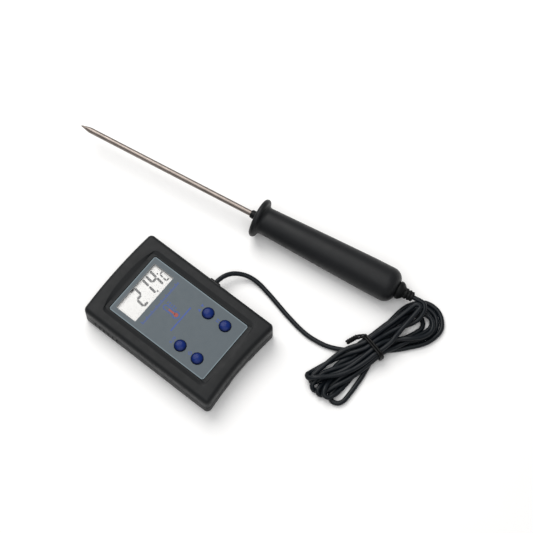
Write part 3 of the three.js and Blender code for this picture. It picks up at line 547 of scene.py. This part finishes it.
FINISHES = {
    "case_plastic": moulded("case_plastic", (0.0125, 0.0135, 0.0145), 0.45, depth=0.012, specular=0.13),
    "handle_plastic": moulded("handle_plastic", (0.0095, 0.0103, 0.0115), 0.45, depth=0.012, specular=0.2),
    "soft_rubber": moulded("soft_rubber", (0.0045, 0.005, 0.0055), 0.5, depth=0.01, specular=0.15),
    "dark_plastic": moulded("dark_plastic", (0.015, 0.015, 0.016), 0.5),
    "white_plastic": moulded("white_plastic", (0.70, 0.68, 0.62), 0.45),
    "cord_vinyl": moulded("cord_vinyl", (0.0040, 0.0062, 0.0088), 0.42, grain=0.5, depth=0.01, specular=0.22),
    "gloss_black": moulded("gloss_black", (0.003, 0.003, 0.0033), 0.36, depth=0.006, specular=0.2),
    "button_blue": button_blue(),
    "wire_red": moulded("wire_red", (0.36, 0.02, 0.015), 0.4),
    "label_print": label_print(),
    "display_cell": display_cell(),
    "clear_pane": clear_pane(),
    "board_laminate": board_laminate(),
    "battery_sleeve": battery_sleeve(),
    "stainless_steel": metal("stainless_steel", (0.26, 0.225, 0.205), 0.38, TO_TIP[:2], 40),
    "zinc_steel": metal("zinc_steel", (0.62, 0.62, 0.60), 0.35, line=0.4),
    "brass": metal("brass", (0.55, 0.40, 0.18), 0.35, line=0.3),
}
INK_BLUE = printed("ink_blue", (0.013, 0.05, 0.24))
INK_RED = printed("ink_red", (0.27, 0.024, 0.02))
INK_DISPLAY = printed("ink_display", (0.075, 0.078, 0.082))
LINER_GREY = printed("liner_grey", (0.20, 0.205, 0.21))


def dress(piece, slot, body, *nodes, material=None):
    """Gives a finished piece its finish and body, and the CAD nodes that it stands for."""
    piece.data.materials.clear()
    piece.data.materials.append(material or FINISHES[slot])
    if nodes:
        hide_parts(*nodes)
    if body:
        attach(piece, body)
    return piece


# ---------------------------------------------------------------- case
def outline(half_x, half_y, radius, high=0.0, low=0.0, power=2, corner=10, side=28):
    """Points round a rounded rectangle whose two ends swell by high and low in their middle."""
    straight_x, straight_y = half_x - radius, half_y - radius
    share = np.linspace(0, 1, side + 1)[1:-1, None]
    side_ends = (half_x, straight_y), (-straight_x, half_y), (-half_x, -straight_y), (straight_x, -half_y)
    points = []
    for k, (sx, sy) in enumerate(((1, -1), (1, 1), (-1, 1), (-1, -1))):
        turn = math.pi / 2 * (k - 1) + np.linspace(0, math.pi / 2, corner + 1)
        bend = radius * np.stack([np.cos(turn), np.sin(turn)], axis=1) + (sx * straight_x, sy * straight_y)
        side_end = side_ends[k]
        points += [bend, bend[-1] + (np.array(side_end) - bend[-1]) * share]
    points = np.vstack(points)
    off_middle = np.minimum(np.abs(points[:, 0]) / straight_x, 1)
    swell = np.where(points[:, 1] > 0, high, -low) * (1 - off_middle ** power)
    points[:, 1] += swell * np.abs(points[:, 1]) / half_y
    return points


def case_ring(inset, z):
    """The case's outline drawn in by inset, at height z."""
    radius = max(CASE_CORNER - inset, 1.0)
    flat = outline(CASE_HALF_X - inset, CASE_HALF_Y - inset, radius, END_BULGE, -END_HOLLOW)
    return at_height(flat, z)


def at_height(flat, z):
    return np.column_stack([flat, np.broadcast_to(z, len(flat))])


def edge_round(size, steps=8):
    """(inset, drop) pairs of a rounded edge that reaches size[0] inwards and size[1] down."""
    turn = np.linspace(0, math.pi / 2, steps + 1)
    return [(size[0] * (1 - math.sin(a)), size[1] * (1 - math.cos(a))) for a in turn]


def hollow_rings():
    """From the label's bed outwards: a narrow moat, a low floor at each end, and the slope up to the rim."""
    bed = LABEL_HALF_X - 0.15, LABEL_HALF_Y - 0.15, LABEL_CORNER
    bank = LABEL_HALF_X - 0.05, LABEL_HALF_Y - 0.05, LABEL_CORNER
    moat = LABEL_HALF_X + 0.55, LABEL_HALF_Y + 0.5, LABEL_CORNER + 0.4
    moat_z = BED_Z - 0.5
    foot = outline(LABEL_HALF_X + 1.1, LABEL_HALF_Y + 3.1, 2.0, low=0.3)
    crease = outline(LABEL_HALF_X + 4.0, LABEL_HALF_Y + 3.4, 3.4, high=3.3, low=1.3, power=2.6)
    lower_end = np.clip(-foot[:, 1] - LABEL_HALF_Y, 0, 3) / 3
    foot_z = BED_Z + 0.12 + 0.75 * lower_end
    top = np.full(len(foot), CASE_TOP)
    rings = [
        at_height(outline(*bed), BED_Z),
        at_height(outline(*bank), moat_z),
        at_height(outline(*moat), moat_z),
        at_height(outline(*moat), foot_z - 0.08),
        at_height(outline(moat[0] + 0.1, moat[1] + 0.1, moat[2]), foot_z),
    ]
    for share in (0, 0.06, 0.2, 0.4, 0.6, 0.8, 0.94):
        rings.append(at_height(foot + (crease - foot) * share, foot_z + (top - 0.03 - foot_z) * share))
    rings.append(at_height(crease, CASE_TOP - 0.025))
    rings.append(at_height(outline(LABEL_HALF_X + 4.3, LABEL_HALF_Y + 3.7, 3.6, 3.3, 1.3, 2.6), CASE_TOP))
    return rings


def face_holes():
    """Outlines of the display opening and the four button holes, as (x, y) points."""
    window = outline(WINDOW_HALF[0], WINDOW_HALF[1], 0.6, corner=4, side=6) + WINDOW_MIDDLE[:2]
    turn = np.linspace(0, 2 * math.pi, 48, endpoint=False)
    circle = (BUTTON_RADIUS + BUTTON_GAP) * np.stack([np.cos(turn), np.sin(turn)], axis=1)
    return [window] + [circle + centre_of(name)[:2] for name in BUTTONS]


def plate(border, holes, low, high):
    """Vertices and faces of a flat plate with holes; its outer wall is left open."""
    loops = [border] + holes
    flat = np.vstack(loops)
    count = len(flat)
    faces = []
    triangles = tessellate_polygon([[Vector((x, y, 0)) for x, y in loop] for loop in loops])
    for triangle in triangles:
        faces.append(tuple(triangle))
        faces.append(tuple(count + i for i in reversed(triangle)))
    start = len(border)
    for hole in holes:
        for i in range(len(hole)):
            a, b = start + i, start + (i + 1) % len(hole)
            faces.append((a, b, count + b, count + a))
        start += len(hole)
    return np.vstack([at_height(flat, high), at_height(flat, low)]), faces


def front_case():
    """Upper shell: sloped rim and end hollows round the label's bed, rounded edge, walls, inside."""
    outer = [case_ring(inset, CASE_TOP - drop) for inset, drop in edge_round(TOP_ROUND)]
    line_z = CASE_TOP - TOP_ROUND[1]
    line = [
        case_ring(LINE_DEPTH, line_z - 0.08), case_ring(LINE_DEPTH, line_z - 0.2), case_ring(0, line_z - 0.3),
    ]
    foot = SPLIT_Z + PARTING_GAP
    bevel = [case_ring(0, SPLIT_Z + 0.35), case_ring(PARTING_DEPTH, foot)]
    hollow = hollow_rings()
    bed = hollow[0][:, :2]
    inside = [case_ring(CASE_WALL, foot), case_ring(CASE_WALL, PLATE_LOW), at_height(bed, PLATE_LOW)]
    rings = hollow + outer + line + bevel + inside
    size = len(rings[0])
    vertices, plate_faces = plate(bed, face_holes(), PLATE_LOW, BED_Z)
    first = len(rings) * size
    faces = band_faces(len(rings), size) + [tuple(first + i for i in face) for face in plate_faces]
    shell = solid("front_case_shell", np.vstack(rings + [vertices]), faces, 28)
    return dress(shell, "case_plastic", "case", "front_case")


def rear_form(name, inset=0.0, low=0.0, high=SPLIT_Z - PARTING_GAP):
    """The rear case's outside, with a rounded lower edge, or its inside when inset."""
    if inset:
        rings = [case_ring(inset, low), case_ring(inset, high)]
    else:
        rings = [case_ring(step_in, low + drop) for step_in, drop in edge_round(FOOT_ROUND)]
        rings += [case_ring(0, high - 0.27), case_ring(PARTING_DEPTH, high)]
    return loft(name, rings)


DOOR_HIGH = span("battery_cover")[1]
RUNNER = 1.2  # how far the cover's runners stand out of its sides
DOOR_HALF_X = DOOR_HIGH[0] - RUNNER
DOOR_GAP = 0.3
BAY_END = -48.8
SCOOP_HALF_X, SCOOP_RAMP, SCOOP_HEIGHT, SCOOP_WALL = 13.4, 5, 4, -51.3
PAST = 60  # a coordinate well outside the case, for the ends of cutting blocks


def rear_case():
    """Lower shell with its battery bay, screw posts and the opening for the sliding cover."""
    shell = rear_form("rear_case_shell")
    bay_x = DOOR_HALF_X + 0.5
    doorway = DOOR_HALF_X + DOOR_GAP
    bay_top = DOOR_HIGH[1] + 1.7
    posts = [centre_of(name)[:2] for name in SCREWS]
    combine(shell, [rear_form("inside", CASE_WALL, FLOOR_Z, SPLIT_Z + 3)], "DIFFERENCE")
    walls = [rod_solid(f"post_{i}", 3.2, x, y, (1, SPLIT_Z - 0.1)) for i, (x, y) in enumerate(posts)]
    bay_y = [BAY_END - 1, bay_top + 1]
    walls += [box_solid("bay_side", [s * bay_x, s * (bay_x + 1)], bay_y, [2, SPLIT_Z - 0.2]) for s in (-1, 1)]
    walls += [box_solid("bay_end", [-bay_x - 0.5, bay_x + 0.5], [y, y + 1], [2, SPLIT_Z - 0.3])
              for y in (BAY_END - 1, bay_top)]
    combine(shell, walls, "UNION")
    cuts = [rod_solid(f"head_{i}", 2.7, x, y, (-1, 3.5)) for i, (x, y) in enumerate(posts)]
    cuts += [rod_solid(f"shank_{i}", 1.35, x, y, (3, 11)) for i, (x, y) in enumerate(posts)]
    mouth = DOOR_HIGH[1] + DOOR_GAP
    cuts += [
        box_solid("doorway", [-doorway, doorway], [-PAST, mouth], [-1, FLOOR_Z + 0.05]),
        box_solid("door_grooves", [-doorway - 1.3, doorway + 1.3], [-PAST, mouth], [0.9, 1.9]),
        box_solid("door_end", [-doorway, doorway], [-PAST, BAY_END - 1], [-1, DOOR_HIGH[2] + DOOR_GAP]),
    ]
    combine(shell, cuts, "DIFFERENCE")
    return dress(shell, "case_plastic", "case", "rear_case")


def grip_ribs():
    """Upright rounded ribs on each long side, near the display end."""
    rib_count, rib_pitch, first_y = 6, 3.8, 44
    rib_radius, rib_low, rib_high = 0.8, 3, 8
    corners = [(0, rib_low, 0), (rib_radius, rib_low, 0.5), (rib_radius, rib_high, 0.5), (0, rib_high, 0)]
    profile = soften(corners)
    ribs = []
    for side in (-1, 1):
        for i in range(rib_count):
            place = (side * (CASE_HALF_X - 0.35), first_y - rib_pitch * i, 0)
            ribs.append(lathe(f"rib_{side}_{i}", profile, place, (0, 0, 1), 20))
    return dress(merge("grip_ribs", ribs), "case_plastic", "case")


def scoop():
    """What the finger scoop takes from the cover's end: level in the middle, with a ramp at each side."""
    across = np.linspace(0, 1, 13)
    ramp = SCOOP_HEIGHT * across ** 2 * (3 - 2 * across)
    left = np.column_stack([-SCOOP_HALF_X + SCOOP_RAMP * across, ramp])
    edge = np.vstack([(-SCOOP_HALF_X, -1), left, (left * (-1, 1))[::-1], (SCOOP_HALF_X, -1)])
    rings = [np.column_stack([edge[:, 0], np.full(len(edge), y), edge[:, 1]]) for y in (-PAST, SCOOP_WALL)]
    return loft("scoop", rings)


def battery_cover():
    """Sliding cover: part of the rear form, hollow inside, with runners, grip grooves and a finger scoop."""
    cover = rear_form("battery_door")
    keep = box_solid("keep", [-DOOR_HALF_X, DOOR_HALF_X], [-PAST, DOOR_HIGH[1]], [-1, DOOR_HIGH[2]])
    combine(cover, [keep], "INTERSECT")
    cuts = [box_solid("hollow", [-PAST, PAST], [BAY_END - 1.4, PAST], [1.8, PAST]), scoop()]
    groove_count, groove_pitch, groove_width, groove_depth = 5, 1.6, 0.7, 0.4
    for i in range(groove_count):
        y = -46 + groove_pitch * i
        cuts.append(box_solid(f"grip_{i}", [-7, 7], [y, y + groove_width], [-1, groove_depth]))
    combine(cover, cuts, "DIFFERENCE")
    runner_x = DOOR_HALF_X + RUNNER
    combine(cover, [box_solid("runners", [-runner_x, runner_x], [-48, -6], [1.05, 1.75])], "UNION")
    return dress(cover, "case_plastic", "battery_cover", "battery_cover")


def window_liner():
    """Thin grey lining of the display opening."""
    rings = [
        outline(WINDOW_HALF[0] - gap, WINDOW_HALF[1] - gap, 0.55, corner=4, side=6) + WINDOW_MIDDLE[:2]
        for gap in (0.02, 0.02, 0.2, 0.2)
    ]
    heights = (PANE_HIGH[2] + 0.02, LABEL_TOP - 0.04, LABEL_TOP - 0.04, PANE_HIGH[2] + 0.02)
    liner = loft("window_liner", [at_height(flat, z) for flat, z in zip(rings, heights)], wrap=True)
    return dress(liner, "label_print", "case", material=LINER_GREY)


def grommet():
    """Square strain relief with a stepped face round the cord."""
    def square(half_y, half_z, x, corner):
        flat = outline(half_y, half_z, corner, corner=8, side=5)
        return np.column_stack([np.full(len(flat), x), flat[:, 0] + CORD_BEND[1], flat[:, 1] + SPLIT_Z])

    def hole(x, radius):
        turn = np.arctan2(*(square(1, 1, 0, 0.5)[:, [2, 1]] - (SPLIT_Z, CORD_BEND[1])).T)
        return np.column_stack([
            np.full(len(turn), x), CORD_BEND[1] + radius * np.cos(turn), SPLIT_Z + radius * np.sin(turn),
        ])

    low, high = span("cord_grommet")
    wall = CASE_HALF_X + 0.1
    face = high[0]
    rings = [
        hole(low[0], 1.9), square(2.7, 2.7, low[0], 0.6), square(2.7, 2.7, wall, 0.6),
        square(4.2, 3.1, wall, 1.2), square(4.3, 3.2, wall + 0.3, 1.2), square(4.3, 3.2, face - 0.7, 1.2),
        square(4.15, 3.05, face - 0.3, 1.2), square(3.8, 2.7, face, 1.1),
        hole(face, 2.2), hole(face - 0.3, 1.9),
    ]
    return dress(loft("grommet", rings, wrap=True), "soft_rubber", "case", "cord_grommet")


def button(node):
    """Domed cap with a rounded rim, a flange below the face and a stem."""
    x, y, _ = centre_of(node)
    low, high = (edge[2] for edge in span(node))
    flange = BUTTON_RADIUS + 0.9
    dome = [(BUTTON_RADIUS * math.sin(a), high - BUTTON_DOME * (1 - math.cos(a))) for a in turns(72, 0, 10)]
    profile = [(0, low), (1.4, low), (1.4, low + 0.3), (flange, low + 0.3), (flange, PLATE_LOW - 0.2)]
    profile += [(BUTTON_RADIUS, PLATE_LOW - 0.2), (BUTTON_RADIUS, high - BUTTON_DOME), *dome]
    cap = lathe(node + "_cap", profile, (x, y, 0), (0, 0, 1), 48, wrap=False)
    return dress(cap, "button_blue", node, node)


# ---------------------------------------------------------------- print and display digits
def prisms(name, shapes, low, high):
    """Thin flat marks: every shape is an (x, y) outline raised between two heights."""
    vertices, faces = [], []
    for shape in shapes:
        first, size = len(vertices), len(shape)
        vertices += [(x, y, z) for z in (low, high) for x, y in shape]
        for triangle in tessellate_polygon([[Vector((x, y, 0)) for x, y in shape]]):
            faces.append(tuple(first + i for i in triangle))
            faces.append(tuple(first + size + i for i in reversed(triangle)))
        faces += [(first + i, first + (i + 1) % size, first + size + (i + 1) % size, first + size + i)
                  for i in range(size)]
    return solid(name, vertices, faces)


def bar(x, y, half_x, half_y):
    left, right, low, high = x - half_x, x + half_x, y - half_y, y + half_y
    return [(left, low), (right, low), (right, high), (left, high)]


def arc(x, y, inner, outer, start, end, steps=16):
    """A strip of a ring between two angles in degrees."""
    turn = np.radians(np.linspace(start, end, steps + 1))
    out = [(x + outer * math.cos(a), y + outer * math.sin(a)) for a in turn]
    back = [(x + inner * math.cos(a), y + inner * math.sin(a)) for a in turn[::-1]]
    return out + back


def ring(x, y, inner, outer):
    return [arc(x, y, inner, outer, 0, 180), arc(x, y, inner, outer, 180, 360)]


def disc(x, y, radius, steps=20):
    turn = np.linspace(0, 2 * math.pi, steps, endpoint=False)
    return [(x + radius * math.cos(a), y + radius * math.sin(a)) for a in turn]


SEGMENTS = {
    "a": ((0, 1), (1, 1)), "b": ((1, 1), (1, 0.5)), "c": ((1, 0.5), (1, 0)), "d": ((0, 0), (1, 0)),
    "e": ((0, 0.5), (0, 0)), "f": ((0, 1), (0, 0.5)), "g": ((0, 0.5), (1, 0.5)),
}
DIGIT_SEGMENTS = {"2": "abged", "1": "bc", "4": "fgbc", "C": "aefd"}
DIGIT_SLANT = 0.125
SEGMENT_GAP = 0.12


def digit(character, x, y, width, height, thick):
    """Bars with pointed ends, leaning to the right; x, y is the lower left corner of their middle lines."""
    shapes = []
    for key in DIGIT_SEGMENTS[character]:
        start, end = (np.array(point, float) * (width, height) for point in SEGMENTS[key])
        along = (end - start) / np.linalg.norm(end - start)
        across = np.array((-along[1], along[0])) * thick / 2
        start, end = start + along * SEGMENT_GAP, end - along * SEGMENT_GAP
        inner = along * thick / 2
        corners = [start, start + inner - across, end - inner - across, end, end - inner + across,
                   start + inner + across]
        shapes.append([(x + p[0] + DIGIT_SLANT * p[1], y + p[1]) for p in corners])
    return shapes


def display_digits():
    """A plain temperature reading in degrees."""
    base = WINDOW_MIDDLE[1] - 5.3
    pitch = 7.95
    first = WINDOW_MIDDLE[0] - 7.6
    shapes = []
    for i, character in enumerate("214"):
        shapes += digit(character, first + pitch * i, base, width=4.5, height=13.3, thick=1.7)
    shapes.append(disc(first + pitch * 1.79, base - 0.1, 0.72))
    shapes.append(disc(first + pitch * 2.98, base + 8.1, 0.6))
    shapes += digit("C", first + pitch * 2.97, base, width=2.9, height=6.5, thick=1.15)
    marks = prisms("display_reading", shapes, LCD_TOP + 0.005, LCD_TOP + 0.03)
    return dress(marks, "dark_plastic", "case", material=INK_DISPLAY)


def scale_ticks(y):
    """A plain graduated line below the display, one tick to the millimetre and each fifth one longer."""
    tick_count, first_x, long_half, short_half = 38, -18.2, 1.2, 0.7
    shapes = []
    for i in range(tick_count):
        half = short_half if i % 5 else long_half
        shapes.append(bar(first_x + i, y + half - long_half, 0.26, half))
    return shapes


def button_icons():
    """One plain sign above each button: stand-by, degrees, two bars, and up and down."""
    shapes = []
    above = 6.1
    x, y, _ = centre_of("button_power") + (0, above, 0)
    shapes += [arc(x, y, 0.85, 1.3, 130, 410, 24), bar(x, y + 0.85, 0.22, 0.8)]
    x, y, _ = centre_of("button_unit") + (0, above, 0)
    shapes += ring(x - 1.9, y + 0.4, 0.45, 0.85) + ring(x + 1.9, y + 0.4, 0.45, 0.85)
    shapes.append([(x - 0.9, y - 1.1), (x - 0.45, y - 1.1), (x + 0.9, y + 1.3), (x + 0.45, y + 1.3)])
    x, y, _ = centre_of("button_hold") + (0, above, 0)
    shapes += [bar(x - 0.75, y, 0.32, 1.15), bar(x + 0.75, y, 0.32, 1.15)]
    x, y, _ = centre_of("button_range") + (0, above, 0)
    shapes.append([(x - 3.1, y - 0.9), (x - 0.7, y - 0.9), (x - 1.9, y + 1.1)])
    shapes.append([(x + 0.7, y + 1.1), (x + 1.9, y - 0.9), (x + 3.1, y + 1.1)])
    return shapes


def pictogram(x, y):
    """A small thermometer sign: outline in blue, filling in red."""
    blue = [
        arc(x, y, 2.0, 2.75, 130, 410, 30), arc(x, y + 9, 1.2, 1.9, 0, 180, 14),
        bar(x - 1.55, y + 5.5, 0.35, 3.6), bar(x + 1.55, y + 5.5, 0.35, 3.6),
    ]
    blue += [bar(x + 3.6, y + 3.2 + 1.7 * i, 1.1 if i % 2 else 0.7, 0.32) for i in range(5)]
    red = [disc(x, y, 1.4), bar(x, y + 3.6, 0.55, 2.6)]
    return blue, red


def label_marks():
    """The printed signs: a thermometer, a graduated line, a plain bar and one sign above each button."""
    blue, red = pictogram(0.3, 2.4)
    blue += scale_ticks(16.3) + button_icons() + [bar(0, -2.0, 10.5, 0.5)]
    ink = (LABEL_TOP + 0.002, LABEL_TOP + 0.02)
    dress(prisms("label_marks_blue", blue, *ink), "button_blue", "case", material=INK_BLUE)
    dress(prisms("label_marks_red", red, *ink), "wire_red", "case", material=INK_RED)


# ---------------------------------------------------------------- cord and tie
def on_axis(along):
    return GUARD + along * TO_TIP


def cord_pieces():
    """The cord in three lengths: free span with hank, the bend behind the boot, and the boot's own end."""
    drawn = ring_centres("cord", CORD_BEND, 6)
    start = CORD_BEND - (0.3, 0, 0)
    into_boot = [on_axis(s) for s in (-121.4, -120.6, -119.6, -118.6, BOOT_END + 0.6)]
    path = smooth_path([start, *drawn, *into_boot], 1.1)
    from_end = ((path - GUARD) @ TO_TIP)[::-1]
    last = len(path) - 1
    neck = last - np.argmax(from_end < NECK_START)
    root = last - np.argmax(from_end < ROOT_START)
    at_case = CORD_BEND, CORD_BEND + (20, -20, 0)
    at_neck = on_axis(-124.5), on_axis(-120.6)
    at_root = on_axis(-120.2), on_axis(-117.6)
    lengths = [
        ("cord_line", (0, neck), ("case", "hank"), at_case, ["cord"]),
        ("cord_neck", (neck, root), ("hank", "cord_tail"), at_neck, ["cord_tail"]),
        ("cord_root", (root, last), ("cord_tail", "probe"), at_root, []),
    ]
    rings = tube_rings(path, CORD_RADIUS, 16)
    for name, (first, final), bodies, (bend_start, bend_end), nodes in lengths:
        piece = dress(loft(name, rings[first:final + 1]), "cord_vinyl", None, *nodes)
        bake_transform(piece)


def twist_tie():
    """One wire: twisted tail, two turns round the waist, and back along the same tail."""
    wire_radius, strand_offset = 0.78, 1.05
    tail_length, tail_twists = 9, 3
    tail_side = np.array((-0.97, 0.25, 0))  # the way the tail points from the waist
    corners, _ = points_of("twist_tie")
    tail_tip = corners[np.argmax(corners @ tail_side)]
    winding = smooth_path(ring_centres("twist_tie", tail_tip, 5), 0.4)
    gone = np.concatenate([[0], np.cumsum(np.linalg.norm(np.diff(winding, axis=0), axis=1))])
    tail = winding[gone < tail_length]
    way = np.gradient(tail, axis=0)
    way /= np.linalg.norm(way, axis=1)[:, None]
    up = np.array((0, 0, 1.0))
    side = np.cross(way, up)
    angle = np.linspace(0, tail_twists * 2 * math.pi, len(tail))[:, None]
    offset = strand_offset * (np.cos(angle) * side + np.sin(angle) * up)
    body = winding[gone >= tail_length + 1]
    path = np.vstack([tail + offset, body, (tail - offset)[::-1]])
    path[:, 2] = np.maximum(path[:, 2], wire_radius)
    piece = loft("tie_wire", tube_rings(smooth_path(path, 0.45), wire_radius, 10))
    return dress(piece, "gloss_black", "hank", "twist_tie")


# ---------------------------------------------------------------- probe
def handle():
    """Moulded handle: large rear round, slight taper, rounded finger guard, bore for lead and needle."""
    rear = 8  # radius of the rear round
    shoulder = [(4.1 + rear * math.cos(a), HANDLE_REAR + rear * (1 + math.sin(a))) for a in turns(-75, 0, 16)]
    waist = [(12, -84), (11.2, -55), (9.65, -6)]
    fillet = [(12 - 2.4 * math.cos(a), -5.2 + 3.2 * math.sin(a)) for a in turns(0, 90, 8)]
    rim = [(11.95 + 2 * math.cos(a), 2 * math.sin(a)) for a in turns(-80, 80, 16)]
    face = [(7, 2.5), (2.5, 2.85), (2.25, 2.6)]
    bore = [(2.25, -20), (7.4, -24), (7.4, -92), (5.05, -96)]
    profile = [(5.05, HANDLE_REAR), *shoulder, *waist, *fillet, *rim, *face, *bore]
    return dress(lathe("handle", profile, GUARD, TO_TIP, 96), "handle_plastic", "probe", "probe_handle")


def bridge(along, angle, reach):
    """A small block across one groove of the strain relief, from inside the tail out to its reach."""
    half_length, half_width, root = 0.55, 1.15, 1.8
    side = np.cross(TO_TIP, (0, 0, 1.0))
    side /= np.linalg.norm(side)
    out = math.cos(angle) * side + math.sin(angle) * np.cross(TO_TIP, side)
    across = np.cross(TO_TIP, out)
    corners = [(-1, -1), (1, -1), (1, 1), (-1, 1)]
    rings = [[on_axis(along + half_length * s) + out * radius + across * half_width * t for s, t in corners]
             for radius in (root, reach)]
    return loft("bridge", rings)


def strain_relief():
    """Collar and slotted tail behind the handle: rings joined by bridges that alternate sides."""
    profile = soften([
        (1.9, BOOT_END, 0), (2.6, BOOT_END, 0.2), (2.6, -117.75, 0), (3.4, -117.7, 0.2), (3.4, -116.5, 0.2),
        (2.4, -116.45, 0), (2.4, -115.65, 0), (3.65, -115.6, 0.25), (3.65, -114.35, 0.25), (2.5, -114.3, 0),
        (2.5, -113.5, 0), (3.8, -113.45, 0.3), (3.8, -112.1, 0.3), (2.8, -112.05, 0), (2.8, -111.3, 0),
        (3.9, -111.25, 0.2), (5.9, -109.2, 0.8), (6.3, -108.2, 0.6), (6.4, -106.9, 0.4), (6.1, -106.6, 0),
        (4.7, -106.6, 0), (4.7, -97, 0), (1.9, -97, 0),
    ], 4)
    tail = [lathe("tail", profile, GUARD, TO_TIP, 48)]
    for i, (along, reach) in enumerate(((-116.05, 3.3), (-113.9, 3.55), (-111.7, 3.75))):
        tail += [bridge(along, math.pi * (k + i / 2 + 0.1), reach) for k in (0, 1)]
    return dress(merge("strain_relief", tail), "soft_rubber", "probe", "strain_relief_boot")


def needle_and_collar():
    """The black nub in front of the finger guard, and the hollow steel needle with its point."""
    collar = soften([(2.3, 3.0, 0), (3.1, 3.0, 0.1), (2.9, 6.4, 0.6), (2.5, 7.1, 0.3), (2.3, 7.1, 0)])
    dress(lathe("needle_collar", collar, GUARD, TO_TIP, 40), "soft_rubber", "probe", "stem_collar")
    outside, bore = 2, 1.45
    needle = soften([
        (0, STEM_TIP - 6, 0), (bore, STEM_TIP - 9, 0), (bore, STEM_REAR, 0), (outside, STEM_REAR, 0),
        (outside, STEM_TIP - 7, 1.6), (0.4, STEM_TIP - 0.35, 0.25), (0, STEM_TIP, 0),
    ])
    dress(lathe("needle", needle, GUARD, TO_TIP, 40, wrap=False), "stainless_steel", "probe", "probe_stem")


# ---------------------------------------------------------------- stage
AMBIENT, BACKDROP_SEEN = 0.33, 0.92
FLOOR_HALF = 3000


def floor():
    """A wide, nearly white, matt floor below the thermometer."""
    ground = solid("floor", [(x, y, 0) for x, y in bar(0, 0, FLOOR_HALF, FLOOR_HALF)], [(0, 1, 2, 3)])
    shader = Shader("floor_white")
    shader.set(Base_Color=shader.blend(shader.noise(40), (0.9, 0.9, 0.9), (0.91, 0.91, 0.91)), Roughness=0.9)
    shader.set(Specular_IOR_Level=0.1)
    ground.data.materials.append(shader.material)


def soft_light(name, place, aim, size, power, tone=(1, 1, 1)):
    """A round soft box: place, aim and size in metres, power in watts."""
    data = bpy.data.lights.new(name, "AREA")
    data.shape = "DISK"
    data.size = size
    data.energy = power
    data.color = tone
    light = bpy.data.objects.new(name, data)
    bpy.context.scene.collection.objects.link(light)
    light.location = place
    light.rotation_euler = (Vector(aim) - Vector(place)).to_track_quat("-Z", "Y").to_euler()


def camera():
    """A long lens on the photographed side, high above the object."""
    azimuth, elevation = math.radians(-51.39), math.radians(68.06)
    distance, lens = 1.221, 120.3
    target = Vector((0.0712, -0.0182, 0.0))
    level = math.cos(elevation)
    back = Vector((math.sin(azimuth) * level, -math.cos(azimuth) * level, math.sin(elevation)))
    data = bpy.data.cameras.new("camera")
    data.lens = lens
    data.clip_end = 10
    eye = bpy.data.objects.new("camera", data)
    bpy.context.scene.collection.objects.link(eye)
    eye.location = target + back * distance
    eye.rotation_euler = (-back).to_track_quat("-Z", "Y").to_euler()
    bpy.context.scene.camera = eye


def surroundings():
    """Even light from all round; the camera itself sees a paler backdrop than the object does."""
    world = bpy.data.worlds.new("studio")
    world.use_nodes = True
    tree = world.node_tree
    backdrop = tree.nodes["Background"]
    backdrop.inputs["Color"].default_value = (1, 1, 1, 1)
    seen = tree.nodes.new("ShaderNodeMath")
    seen.operation = "MULTIPLY_ADD"
    seen.inputs[1].default_value = BACKDROP_SEEN - AMBIENT
    seen.inputs[2].default_value = AMBIENT
    tree.links.new(tree.nodes.new("ShaderNodeLightPath").outputs["Is Camera Ray"], seen.inputs[0])
    tree.links.new(seen.outputs[0], backdrop.inputs["Strength"])
    bpy.context.scene.world = world


def studio():
    """Floor, two soft boxes, even surroundings and the camera."""
    floor()
    middle = (0.06, -0.02, 0)
    soft_light("key", (0.36, 0.62, 1.06), middle, 1.0, 12.5, (1, 0.985, 0.965))
    soft_light("overhead", (-0.35, -0.25, 1.4), middle, 1.4, 9.5)
    surroundings()
    bpy.context.scene.view_settings.view_transform = "Standard"
    camera()


# ---------------------------------------------------------------- everything together
def dress_frame():
    """A finish for every CAD node; those that a piece stands for are hidden later."""
    for name, node in NODES.items():
        node.data.materials.clear()
        node.data.materials.append(FINISHES[SLOT_OF[name]])


dress_frame()
front_case()
rear_case()
grip_ribs()
battery_cover()
grommet()
for cap in BUTTONS:
    button(cap)
window_liner()
display_digits()
label_marks()
cord_pieces()
twist_tie()
handle()
strain_relief()
needle_and_collar()
studio()
